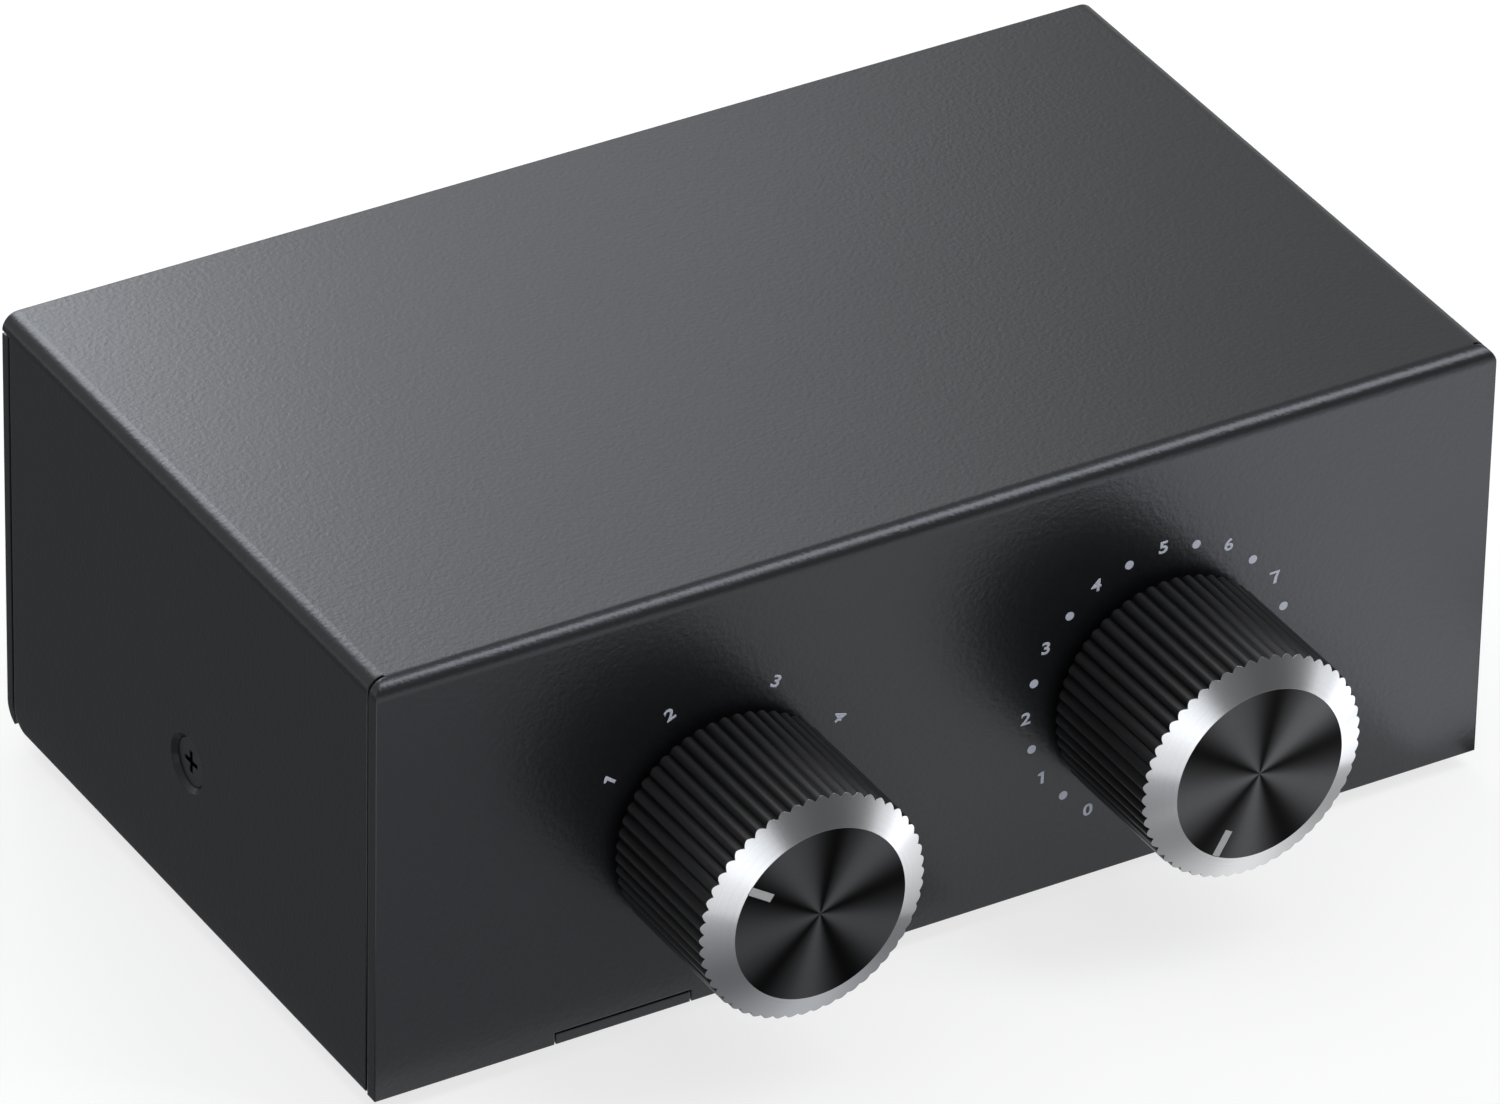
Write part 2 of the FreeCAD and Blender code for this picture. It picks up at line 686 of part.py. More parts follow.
def build_board_standoffs():
    """Tapped standoffs pressed into the bottom."""
    standoffs = Piece("board_standoffs", CASE)
    places = board_screw_places()
    standoffs.pad("XY", [(x, y, s.standoff_radius) for x, y in places], s.standoff_height,
                  at=s.base_sheet)
    standoffs.pad("XY", [(x, y, s.spigot_radius) for x, y in places], s.base_sheet)
    standoffs.pocket("XY", [(x, y, tapped_hole) for x, y in places], board_underside)


def build_board_screws():
    """The screws that hold the board on its standoffs."""
    xs, ys = board_screw_rows()
    x, y, z = CASE
    screws = Piece("board_screws", (x + xs[0], y + ys[0], z + board_top))
    body = screws.turned(pan_head_profile(s.screw_length), axis="Z")
    recess = cross_recess(screws, "XY", s.screw_head_height)
    screws.in_a_grid([body, recess], xs[1] - xs[0], len(xs), ys[1] - ys[0], len(ys))


def build_main_board():
    """The board that the switch, the volume control and the sockets are soldered to."""
    board = Piece("main_board", CASE)
    board.pad("XY", [rectangle(-board_side, board_front, board_side, board_rear)],
              s.board_thickness, at=board_underside)
    start, depth = board_underside - s.tool_gap, s.board_thickness + s.tool_gap * 2
    board.pocket("XY", [(x, y, plain_hole) for x, y in board_screw_places()], depth, at=start)
    for side, (x, y, *grid) in ((-1, SWITCH_PINS), (1, POT_PINS)):
        slot = board.pocket("XY", [pin_outline(x, y, s.pin_gap)], depth, at=start,
                            centre=(side * s.control_spacing / 2, front))
        board.in_a_grid([slot], *grid)
    slots = board.pocket("XY", [pin_outline(x, 0, s.pin_gap) for x in tail_places()], depth,
                         at=start, centre=(first_jack, rear + tail_middle))
    board.in_a_row([slots], jack_span, s.jack_count)


# Knobs: their own origin is on the shaft's axis at the front panel's face

hub_end = -(s.bushing_length - s.cover_sheet + s.hub_gap)
face_radius = s.knob_radius - s.bevel_width
face_back = -(s.knob_reach - s.knob_face_thickness)
valley_radius = s.knob_radius - s.rib_height
cavity_radius = valley_radius - s.knob_wall
core_back = face_back + s.core_gap
web_front = core_back + s.core_web
shaft_end = web_front + s.shaft_end_gap


def rib_outline():
    """One rounded rib in section, from below the valleys to its top."""
    edge = 360 / s.rib_count * s.rib_share / 2
    half = across(edge, valley_radius)
    shoulder = along(edge, valley_radius)
    rise = s.knob_radius - shoulder
    arc = (half * half + rise * rise) / (rise * 2)
    foot = valley_radius - s.rib_height / 2
    return [
        (across(-edge, foot), along(-edge, foot)),
        (across(edge, foot), along(edge, foot)),
        (half, shoulder),
        (0, s.knob_radius, arc),
        (-half, shoulder, arc),
    ]


def pointer_outline(gap):
    """The pointer line on a knob's face, at the rim of the flat, with a gap round it."""
    half = s.pointer_width / 2 + gap
    high = face_radius - s.fit_gap
    return rectangle(-half, high - s.pointer_length - gap, half, high + gap)


def build_knob_shell(name, place, turn):
    """A ribbed metal cup with a cut bevel and a groove for the pointer line."""
    shell = Piece(f"{name}_knob_shell", place, turn)
    shell.turned([
        (-s.knob_gap, cavity_radius),
        (face_back, cavity_radius),
        (face_back, 0),
        (-s.knob_reach, 0),
        (-s.knob_reach, valley_radius),
        (-s.knob_gap, valley_radius),
    ])
    rib = shell.pad("XZ", [rib_outline()], s.knob_reach - s.knob_gap, at=-s.knob_gap, way=-1)
    shell.in_a_ring([rib], s.rib_count)
    bevel_end = s.bevel_depth - s.knob_reach
    shell.turned_away([
        (-s.knob_reach - s.tool_gap, face_radius),
        (-s.knob_reach, face_radius),
        (bevel_end, s.knob_radius),
        (bevel_end, s.knob_radius + s.tool_gap),
        (-s.knob_reach - s.tool_gap, s.knob_radius + s.tool_gap),
    ])
    shell.pocket("XZ", [pointer_outline(s.fit_gap)], s.pointer_depth + s.fit_gap,
                 at=-s.knob_reach)


def build_knob_core(name, place, turn):
    """The moulded core between the metal cup and the shaft."""
    core = Piece(f"{name}_knob_core", place, turn)
    outer = cavity_radius - s.core_gap
    sleeve_inside = outer - s.core_sleeve
    core_front = -s.knob_gap - s.core_set_back
    core.turned([
        (core_back, 0),
        (core_back, outer),
        (core_front, outer),
        (core_front, sleeve_inside),
        (web_front, sleeve_inside),
        (web_front, s.core_hub_radius),
        (hub_end, s.core_hub_radius),
        (hub_end, 0),
    ])
    root = s.core_rib / 4
    rib_front = hub_end - s.core_set_back
    rib = core.pad("XZ", [rectangle(-s.core_rib / 2, s.core_hub_radius - root,
                                    s.core_rib / 2, sleeve_inside + root)],
                   rib_front - web_front, at=rib_front, way=-1)
    core.in_a_ring([rib], s.core_rib_count)
    core.pocket("XZ", [d_section(s.shaft_radius + s.grip_gap, s.shaft_flat + s.grip_gap)],
                hub_end - web_front, at=hub_end, way=-1)


def build_pointer(name, place, turn):
    """The pale line in a knob's face."""
    pointer = Piece(f"{name}_pointer", place, turn)
    pointer.pad("XZ", [pointer_outline(0)], s.pointer_depth, at=-s.knob_reach)


# What the switch and the volume control have in common; y = 0 is the front panel's face

mount_face = s.cover_sheet


def locator_offset(control_half):
    """The locating pin's distance from the shaft, just inside the control's edge."""
    return control_half - s.locator_radius - s.locator_edge


def add_bushing(frame, radius, control_half, plate):
    """The threaded bushing, its bore and the locating pin on a control's frame."""
    frame.pad("XZ", [(0, 0, radius)], s.bushing_length, at=mount_face, way=-1)
    frame.pad("XZ", [(0, locator_offset(control_half), s.locator_radius)],
              s.cover_sheet - s.panel_gap, at=mount_face, way=-1)
    frame.pocket("XZ", [(0, 0, s.shaft_radius + s.shaft_gap)],
                 s.bushing_length + plate + s.tool_gap * 2,
                 at=mount_face - s.bushing_length - s.tool_gap)


def add_chamber(frame, depth, at, wheel, start, travel):
    """A round chamber for a rotor, with a longer-reaching sector for its stop tooth."""
    margin = s.stop_angle / 2 + s.stop_gap
    frame.pocket("XZ", [(0, 0, wheel + s.chamber_gap)], depth + s.tool_gap, at=at)
    frame.pocket("XZ", [sector(start - margin, start + travel + margin,
                               wheel + s.stop_height + s.chamber_gap)],
                 depth + s.tool_gap, at=at)


def build_shaft(label, place, turn, shoulder, tail):
    """A round shaft with a flat for the knob and a thinner, flatted tail for the rotors."""
    shaft = Piece(label, place, turn)
    shaft.turned([
        (shaft_end, 0),
        (tail, 0),
        (tail, s.shaft_tail_radius),
        (shoulder, s.shaft_tail_radius),
        (shoulder, s.shaft_radius),
        (shaft_end, s.shaft_radius),
    ])
    outside = s.shaft_radius + s.tool_gap
    flat = [rectangle(-outside, s.shaft_flat, outside, outside)]
    shaft.pocket("XZ", flat, hub_end - shaft_end, at=shaft_end)
    shaft.pocket("XZ", flat, tail - shoulder, at=shoulder)


def build_washer(label, place, bushing):
    """The washer between a bushing's nut and the front panel."""
    hole = bushing + s.panel_gap
    washer = Piece(label, place)
    washer.pad("XZ", [(0, 0, hole + s.washer_margin), (0, 0, hole)], s.washer_thickness, way=-1)


def build_nut(label, place, bushing):
    """The six-sided nut that clamps a bushing to the front panel."""
    nut = Piece(label, place)
    corner = (bushing + s.nut_margin) / math.cos(math.radians(30))
    hexagon = [(across(60 * n + 30, corner), along(60 * n + 30, corner)) for n in range(6)]
    nut.pad("XZ", [hexagon, (0, 0, bushing + s.thread_gap)], s.nut_thickness,
            at=-s.washer_thickness, way=-1)


def add_wiper(piece, at, reach, ends):
    """A springy ring round the shaft with fingers up, or up and down, to the rotor's edge."""
    inner = s.shaft_tail_radius + s.running_gap
    half = s.wiper_width / 2
    piece.pad("XZ", [(0, 0, inner + s.wiper_width), (0, 0, inner)], s.wiper_thickness, at=at)
    for end in ends:
        piece.pad("XZ", [rectangle(-half, end * (inner + half), half, end * reach)],
                  s.wiper_thickness, at=at)


# Rotary switch, front to rear: plate, detent chamber, housing

plate_back = mount_face + s.switch_plate
chamber_back = plate_back + s.detent_depth
wheel_front = plate_back + s.running_gap
rotor_front = chamber_back + s.running_gap
rotor_back = rotor_front + s.rotor_thickness
switch_travel = s.switch_step * (s.switch_positions - 1)
spring_floor = s.switch_width / 2 - s.switch_edge
ball_seat = spring_floor - s.fit_gap - s.spring_thickness
ball_middle = ball_seat - s.fit_gap - s.ball_radius
wheel_radius = ball_middle - s.ball_radius - s.ball_lift
rotor_radius = s.switch_width / 2 - s.housing_wall - s.rotor_gap

# Terminals of a control: the first one's place, then span and count across and rearwards
SWITCH_PINS = (
    -s.switch_pin_pitch * (s.switch_pin_count - 1) / 2,
    chamber_back + (s.housing_depth - s.switch_row_pitch) / 2,
    s.switch_pin_pitch * (s.switch_pin_count - 1), s.switch_pin_count,
    s.switch_row_pitch, s.switch_row_count,
)


def switch_square():
    half = s.switch_width / 2
    return rectangle(-half, -half, half, half)


def build_switch_frame():
    """Plate and bushing in one casting, with the detent's chamber behind the plate."""
    frame = Piece("switch_frame", SWITCH)
    frame.pad("XZ", [switch_square()], s.switch_plate + s.detent_depth, at=mount_face)
    add_bushing(frame, s.switch_bushing_radius, s.switch_width / 2, s.switch_plate)
    add_chamber(frame, s.detent_depth, plate_back, wheel_radius, s.switch_start, switch_travel)
    slot = s.ball_radius + s.fit_gap
    spring = s.spring_length / 2 + s.fit_gap
    for outline in (rectangle(-slot, -ball_seat, slot, -wheel_radius),
                    rectangle(-spring, -spring_floor, spring, -ball_seat)):
        frame.pocket("XZ", [outline], s.detent_depth + s.tool_gap, at=plate_back)


def build_detent():
    """The ball that drops into the wheel's notches, and the leaf spring under it."""
    x, y, z = SWITCH
    ball = placed(doc.addObject("Part::Sphere", "detent_ball"), "detent_ball",
                  (x, y + plate_back + s.detent_depth / 2, z - ball_middle))
    bind(ball, "Radius", s.ball_radius)
    spring = placed(doc.addObject("Part::Box", "detent_spring"), "detent_spring",
                    (x - s.spring_length / 2, y + plate_back + s.fit_gap,
                     z - ball_seat - s.spring_thickness))
    bind(spring, "Length", s.spring_length)
    bind(spring, "Width", s.detent_depth - s.fit_gap * 2)
    bind(spring, "Height", s.spring_thickness)


def build_switch_housing():
    """The moulded rear half of the switch, slotted for its terminals."""
    housing = Piece("switch_housing", SWITCH)
    housing.pad("XZ", [switch_square()], s.housing_depth, at=chamber_back)
    half = s.switch_width / 2
    housing.pocket("XZ", [(0, 0, half - s.housing_wall)], s.housing_depth - s.housing_wall,
                   at=chamber_back)
    x, y, *grid = SWITCH_PINS
    slot = housing.pocket("XY", [pin_outline(x, y, s.fit_gap)], half, at=-half)
    housing.in_a_grid([slot], *grid)


def build_switch_terminals():
    """Two rows of terminals from the contact rotor's edge down through the board."""
    pins = Piece("switch_terminals", SWITCH)
    x, y, *grid = SWITCH_PINS
    pin = pins.pad("XY", [pin_outline(x, y, 0)], pin_end - rotor_radius - s.running_gap,
                   at=-pin_end)
    pins.in_a_grid([pin], *grid)


def build_switch_rotor():
    """Detent wheel, stop tooth and contact rotor in one moulding."""
    rotor = Piece("switch_rotor", SWITCH, s.switch_start)
    wheel_depth = s.detent_depth - s.running_gap * 2
    tooth = s.stop_angle / 2
    rotor.pad("XZ", [(0, 0, wheel_radius)], wheel_depth, at=wheel_front)
    rotor.pad("XZ", [sector(-tooth, tooth, wheel_radius + s.stop_height)], wheel_depth,
              at=wheel_front)
    notches = []
    for index in range(int(number_of(s.switch_positions))):
        angle = 180 - s.switch_start - s.switch_step * index
        ring = wheel_radius + s.notch_radius / 2
        notches.append((across(angle, ring), along(angle, ring), s.notch_radius))
    rotor.pocket("XZ", notches, s.detent_depth, at=plate_back)
    rotor.pad("XZ", [(0, 0, s.shaft_radius + s.housing_wall)], rotor_back - wheel_front,
              at=wheel_front)
    rotor.pad("XZ", [(0, 0, rotor_radius)], s.rotor_thickness, at=rotor_front)
    bore = d_section(s.shaft_tail_radius + s.grip_gap, s.shaft_flat + s.grip_gap)
    rotor.pocket("XZ", [bore], rotor_back)


def build_switch_wipers():
    """The moving contact on the rotor's rear face."""
    wiper = Piece("switch_wipers", SWITCH, s.switch_start)
    add_wiper(wiper, rotor_back, rotor_radius - s.running_gap, (1, -1))


# Volume control, front to rear: frame, front wafer, can with the rear wafer in it

cup_back = mount_face + s.pot_plate + s.pot_chamber
front_wafer_back = cup_back + s.wafer_thickness
rear_wafer_front = front_wafer_back + s.pot_chamber
rear_wafer_back = rear_wafer_front + s.wafer_thickness
can_inside = rear_wafer_back + s.pin_thickness + s.running_gap
pot_inner = s.pot_radius - s.can_wall
pot_rotor_radius = s.pot_radius - s.pot_wall - s.chamber_gap - s.stop_height
pot_rotor_fronts = (mount_face + s.pot_plate + s.running_gap, front_wafer_back + s.running_gap)
pot_pin_span = s.pot_pin_pitch * (s.pot_pin_count - 1)
tongue_half = (pot_pin_span + s.pin_width) / 2 + s.tongue_margin

POT_PINS = (
    -pot_pin_span / 2, front_wafer_back + s.pin_thickness / 2,
    pot_pin_span, s.pot_pin_count, rear_wafer_back - front_wafer_back, len(pot_rotor_fronts),
)


def build_pot_frame():
    """Plate, bushing and front chamber in one casting."""
    frame = Piece("pot_frame", VOLUME)
    frame.pad("XZ", [(0, 0, s.pot_radius)], s.pot_plate + s.pot_chamber, at=mount_face)
    add_bushing(frame, s.pot_bushing_radius, s.pot_radius, s.pot_plate)
    add_chamber(frame, s.pot_chamber, mount_face + s.pot_plate, pot_rotor_radius,
                s.volume_start, s.volume_travel)


def build_pot_wafer(label, at, radius):
    """A resistance wafer with a tongue that carries its terminals."""
    wafer = Piece(label, VOLUME)
    wafer.pad("XZ", [(0, 0, radius)], s.wafer_thickness, at=at)
    wafer.pad("XZ", [rectangle(-tongue_half, -(board_drop - s.tongue_clear), tongue_half, 0)],
              s.wafer_thickness, at=at)
    wafer.pocket("XZ", [(0, 0, s.shaft_tail_radius + s.running_gap)],
                 s.wafer_thickness + s.tool_gap * 2, at=at - s.tool_gap)


def build_pot_can():
    """The drawn can over the rear half, open below for the terminals."""
    can = Piece("pot_can", VOLUME)
    depth = can_inside - front_wafer_back
    can.pad("XZ", [(0, 0, s.pot_radius)], depth + s.can_wall, at=front_wafer_back)
    can.pocket("XZ", [(0, 0, pot_inner)], depth, at=front_wafer_back)
    half = tongue_half + s.running_gap
    can.pocket("XZ", [rectangle(-half, -s.pot_radius - s.tool_gap, half, 0)], depth,
               at=front_wafer_back)


def build_pot_terminals():
    """Three terminals behind each wafer, down through the board."""
    pins = Piece("pot_terminals", VOLUME)
    x, y, *grid = POT_PINS
    pin = pins.pad("XY", [pin_outline(x, y, 0)],
                   pin_end - pot_rotor_radius - s.chamber_gap * 2, at=-pin_end)
    pins.in_a_grid([pin], *grid)


def build_pot_rotors():
    """Two equal rotors on one shaft; the front one has the stop tooth."""
    rotors = Piece("pot_rotors", VOLUME, s.volume_start)
    for at in pot_rotor_fronts:
        rotors.pad("XZ", [(0, 0, pot_rotor_radius)], s.rotor_thickness, at=at)
    tooth = s.stop_angle / 2
    rotors.pad("XZ", [sector(-tooth, tooth, pot_rotor_radius + s.stop_height)],
               s.rotor_thickness, at=pot_rotor_fronts[0])
    bore = d_section(s.shaft_tail_radius + s.grip_gap, s.shaft_flat + s.grip_gap)
    rotors.pocket("XZ", [bore], rear_wafer_front)


def build_pot_wipers():
    """The moving contact on the rear face of each rotor."""
    wipers = Piece("pot_wipers", VOLUME, s.volume_start)
    for at in pot_rotor_fronts:
        add_wiper(wipers, at + s.rotor_thickness, pot_rotor_radius - s.running_gap, (1,))


# Phono sockets: a pair's own origin is on the rear wall's face, level with the board's top

sleeve_inner = s.sleeve_radius - s.sleeve_wall
insert_radius = sleeve_inner - s.fit_gap
insert_face = s.sleeve_reach - s.insert_recess
contact_face = insert_face - s.contact_recess
sleeve_tail = s.sleeve_radius - s.sleeve_wall / 2
contact_tail = (s.contact_radius + s.contact_bore) / 2
heights = (s.jack_low, s.jack_low + s.jack_rise)


def tail_places():
    """The terminals of one pair in plan: the lower socket's go left, the upper's right."""
    return [side * offset for offset in (sleeve_tail, contact_tail) for side in (-1, 1)]


def add_tails(piece, offset):
    """A terminal from each socket, back and down behind the housing to the board."""
    thin = s.pin_thickness / 2
    low = -(s.board_thickness + s.pin_through)
    for side, z in zip((-1, 1), heights):
        piece.pad("YZ", [[
            (-s.sleeve_root, z - thin),
            (-s.sleeve_root, z + thin),
            (tail_middle - thin, z + thin),
            (tail_middle - thin, low),
            (tail_middle + thin, low),
            (tail_middle + thin, z - thin),
        ]], s.pin_width, at=side * offset, way=0)


def build_jack_housing(number, place):
    """The moulded block behind the rear wall, with a collar for each socket."""
    housing = Piece(f"jack_housing_{number}", place)
    half = s.jack_width / 2
    housing.pad("XZ", [rectangle(-half, 0, half, heights[1] + s.jack_head)], s.jack_depth,
                at=-s.base_sheet, way=-1)
    housing.pad("XZ", [(0, z, collar_radius) for z in heights],
                s.base_sheet + s.collar_reach, at=-s.base_sheet)
    housing.pocket("XZ", [(0, z, sleeve_root_radius + s.fit_gap) for z in heights],
                   s.sleeve_root + s.collar_reach + s.tool_gap, at=-s.sleeve_root)
    wide, thin = s.pin_width / 2 + s.fit_gap, s.pin_thickness / 2 + s.fit_gap
    slots = [rectangle(side * offset - wide, z - thin, side * offset + wide, z + thin)
             for side, z in zip((-1, 1), heights) for offset in (sleeve_tail, contact_tail)]
    housing.pocket("XZ", slots, s.jack_depth, at=s.tool_gap - s.sleeve_root, way=-1)
    housing.pocket("XZ", [(0, s.jack_low + s.jack_rise / 2, tapped_hole)],
                   s.screw_length + s.hole_depth_spare, at=-s.base_sheet, way=-1)


def build_jack_metal(number, place):
    """The sleeves and the centre contacts of one pair."""
    sleeves = Piece(f"jack_sleeves_{number}", place)
    sleeves.pad("XZ", [(0, z, r) for z in heights for r in (s.sleeve_radius, sleeve_inner)],
                s.sleeve_reach + s.sleeve_root, at=-s.sleeve_root)
    sleeves.pad("XZ", [(0, z, r) for z in heights for r in (sleeve_root_radius, sleeve_inner)],
                s.sleeve_root + s.collar_reach, at=-s.sleeve_root)
    add_tails(sleeves, sleeve_tail)
    contacts = Piece(f"jack_contacts_{number}", place)
    contacts.pad("XZ", [(0, z, r) for z in heights for r in (s.contact_radius, s.contact_bore)],
                 contact_face + s.sleeve_root, at=-s.sleeve_root)
    add_tails(contacts, contact_tail)


def build_jack_insert(label, place, z):
    """The coloured insulator inside a sleeve, with a lip before the centre contact."""
    insert = Piece(label, place)
    length = insert_face + s.sleeve_root
    insert.pad("XZ", [(0, z, insert_radius)], length, at=-s.sleeve_root)
    start = -s.sleeve_root - s.tool_gap
    insert.pocket("XZ", [(0, z, s.contact_bore + s.fit_gap)], length + s.tool_gap * 2, at=start)
    insert.pocket("XZ", [(0, z, s.contact_radius + s.fit_gap)],
                  contact_face + s.fit_gap - start, at=start)


def build_jack_pairs():
    """A left socket over a right socket, side by side along the rear wall."""
    pitch = jack_span / (s.jack_count - 1)
    for index in range(int(number_of(s.jack_count))):
        number = index + 1
        place = (first_jack + pitch * index, shift + rear, s.foot_height + board_top)
        build_jack_housing(number, place)
        build_jack_metal(number, place)
        build_jack_insert(f"jack_right_insert_{number}", place, heights[0])
        build_jack_insert(f"jack_left_insert_{number}", place, heights[1])


def build_jack_screws():
    """One screw between the two sockets of each pair, from outside the rear wall."""
    middle = s.foot_height + board_top + s.jack_low + s.jack_rise / 2
    screws = Piece("jack_screws", (first_jack, shift + rear, middle))
    body = screws.turned(pan_head_profile(s.screw_length + s.base_sheet))
    recess = cross_recess(screws, "XZ", s.screw_head_height)
    screws.in_a_row([body, recess], jack_span, s.jack_count)


def build_all():
    build_cover()
    build_base_chassis()
    build_side_screws()
    build_rubber_feet()
    build_board_standoffs()
    build_main_board()
    build_board_screws()
    for name, place, turn in (("selector", SWITCH, s.switch_start),
                              ("volume", VOLUME, s.volume_start)):
        build_knob_shell(name, place, turn)
        build_knob_core(name, place, turn)
        build_pointer(name, place, turn)
    for name, place, bushing in (("switch", SWITCH, s.switch_bushing_radius),
                                 ("pot", VOLUME, s.pot_bushing_radius)):
        build_washer(f"{name}_washer", place, bushing)
        build_nut(f"{name}_nut", place, bushing)
    build_switch_frame()
    build_detent()
    build_switch_housing()
    build_switch_terminals()
    build_shaft("selector_shaft", SWITCH, s.switch_start, plate_back,
                rotor_back + s.wiper_thickness)
    build_switch_rotor()
    build_switch_wipers()
    build_pot_frame()
    build_pot_wafer("pot_front_wafer", cup_back, s.pot_radius)
    build_pot_wafer("pot_rear_wafer", rear_wafer_front, pot_inner - s.fit_gap)
    build_pot_can()
    build_pot_terminals()
    build_shaft("volume_shaft", VOLUME, s.volume_start, mount_face + s.pot_plate,
                pot_rotor_fronts[1] + s.rotor_thickness)
    build_pot_rotors()
    build_pot_wipers()
    build_jack_pairs()
    build_jack_screws()


def check_and_write():
    """Stop on any failed object or unsound shape, then write each sub-part's file."""
    doc.recompute()
    for item in doc.Objects:
        if "Invalid" in item.State or "Error" in item.State:
            raise RuntimeError(f"{item.Name} failed: {item.State}")
    for piece in pieces:
        if piece.Shape.isNull() or not piece.Shape.isValid():
            raise RuntimeError(f"{piece.Label} has no sound shape")
    os.makedirs("parts", exist_ok=True)
    for piece in pieces:
        piece.Shape.exportStep(f"parts/{piece.Label}.step")
        print(f"{piece.Label}: {len(piece.Shape.Solids)} solids, {piece.Shape.Volume:.1f} mm3")


build_all()
check_and_write()
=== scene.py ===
import math

import bmesh
import bpy
from mathutils import Matrix, Vector


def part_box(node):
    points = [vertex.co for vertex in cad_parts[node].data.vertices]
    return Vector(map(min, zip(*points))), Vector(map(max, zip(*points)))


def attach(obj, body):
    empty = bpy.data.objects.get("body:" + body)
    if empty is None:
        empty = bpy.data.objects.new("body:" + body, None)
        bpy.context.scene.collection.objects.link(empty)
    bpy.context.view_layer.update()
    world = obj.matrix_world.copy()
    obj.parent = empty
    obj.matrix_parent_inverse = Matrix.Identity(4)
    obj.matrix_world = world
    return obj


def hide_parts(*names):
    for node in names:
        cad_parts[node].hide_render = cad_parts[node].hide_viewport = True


# The looks of a four-way stereo source selector: textured black paint on a folded sheet box,
# two ribbed black knobs with a bright cut bevel, printed dial numbers and plated sockets.
# Everything is in metres, in the frame of the packed solids.

bl_info = {
    "name": "Source Selector Looks",
    "version": (1, 0, 0),
    "blender": (4, 5, 0),
    "location": "3D View > Sidebar > Selector",
    "description": "Dresses the packed source selector in its finishes and small details",
    "category": "Object",
}

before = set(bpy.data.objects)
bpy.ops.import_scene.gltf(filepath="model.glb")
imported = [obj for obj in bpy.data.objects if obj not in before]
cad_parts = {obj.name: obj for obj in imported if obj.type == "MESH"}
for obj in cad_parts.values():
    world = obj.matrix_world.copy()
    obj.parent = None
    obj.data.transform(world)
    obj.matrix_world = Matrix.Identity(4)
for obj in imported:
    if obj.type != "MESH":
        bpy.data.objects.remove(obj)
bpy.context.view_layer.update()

MM = 0.001
PAIRS = range(1, 6)  # the socket pairs, numbered as their nodes are


def middle_of(node):
    low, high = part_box(node)
    return (low + high) / 2


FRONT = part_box("cover")[0].y
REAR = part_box("base_chassis")[1].y
SHAFTS = {"selector": middle_of("selector_knob_shell"), "volume": middle_of("volume_knob_shell")}
KNOB_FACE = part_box("selector_knob_shell")[0].y
KNOB_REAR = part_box("selector_knob_shell")[1].y
KNOB_RADIUS = (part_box("selector_knob_shell")[1].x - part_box("selector_knob_shell")[0].x) / 2

RIB_COLUMNS = 12  # points round one rib
KNOB_CHAMFER = 0.25 * MM  # at the rear end of the ribs
GROOVE_HALF_WIDTH = 0.45 * MM
GROOVE_DEPTH = 0.3 * MM
GROOVE_FROM, GROOVE_TO = 6.6 * MM, 9.61 * MM  # from the knob's axis
CUTTER_SPARE = 1 * MM  # the groove's cutter in front of the face

INK_HEIGHT = 0.02 * MM  # printed ink above the paint
SELECTOR_NUMBERS = (("1", -56.6), ("2", -23.6), ("3", 22.7), ("4", 60.1))  # degrees from the top
VOLUME_NUMBERS = 11
VOLUME_START, VOLUME_STEP = -150, 30  # degrees: the number 0, and one number to the next
LABEL_ABOVE = 8.2 * MM  # a pair's label above its upper socket
LABEL_BESIDE = 7.3 * MM  # the letter beside a socket

# Letters are drawn in the font's own units, in which a capital is about 0.7 tall.
LETTER_FLATTENING = 0.2  # their rounded edges are pressed to this share of their thickness
STROKE_LEVEL = 0.02  # an added stroke, above the middle of the thickness
SEVEN = ((0.0, 0.57), (0.0, 0.7), (0.48, 0.7), (0.48, 0.62), (0.38, 0.36),
         (0.34, 0.0), (0.18, 0.0), (0.23, 0.34), (0.34, 0.57))
FLAG = ((-0.17, -0.22), (-0.17, -0.1), (0.03, 0.0), (0.1, 0.0), (0.03, -0.22))

FLOOR_RADIUS = 20.0
FLOOR_WHITE = 1.04  # what the camera and the gloss see, a little over white
ROOM_FRONT, ROOM_REAR = 0.28, 0.55  # level of the room before and behind the object
ROOM_BLEND = 0.7  # how far toward front and rear the level still changes
LAMP_TINT = (0.95, 0.97, 1.0)
LAMP_AIM = Vector((0.0, 0.0, 0.025))
# Each lamp's name, place, width, height and level
LAMPS = (
    ("overhead", (-0.15, 0.2, 1.0), 0.75, 0.9, 1.1),
    ("rear_left", (-0.01, 0.345, 0.24), 0.22, 0.2, 4.0),
    ("rear_middle", (0.07, 0.37, 0.3), 0.34, 0.3, 1.05),
    ("front_left", (-0.3, -1.05, 0.16), 0.7, 0.5, 1.2),
    ("right", (0.9, -0.3, 0.12), 0.4, 0.35, 1.35),
    ("high_right", (0.55, -0.45, 1.0), 0.36, 0.85, 6.2),
)
# Each card's name, its level, and its sheets as left, front, right and rear in mm
CARDS = (
    ("dark_card", 0.19, ((-360, -50, -64.5, 300), (64.5, -38, 360, 300))),
    ("grey_card", 0.52, ((-74, -112, 5, -50), (-64, -50, 5, -39))),
    ("left_card", 2.2, ((-150, -110, -74, -52),)),
    ("light_card", 1.8, ((60, -140, 80, -39), (80, -140, 150, -62))),
)
CARD_HEIGHT = 0.3 * MM


# Settings that a user would change


def length(name, description, default):
    return bpy.props.FloatProperty(
        name=name, description=description, default=default, min=0.0, precision=5, unit="LENGTH")


def amount(name, description, default, top=1.0):
    return bpy.props.FloatProperty(
        name=name, description=description, default=default, min=0.0, max=top)


def angle(name, description, degrees):
    return bpy.props.FloatProperty(
        name=name, description=description, default=math.radians(degrees), unit="ROTATION")


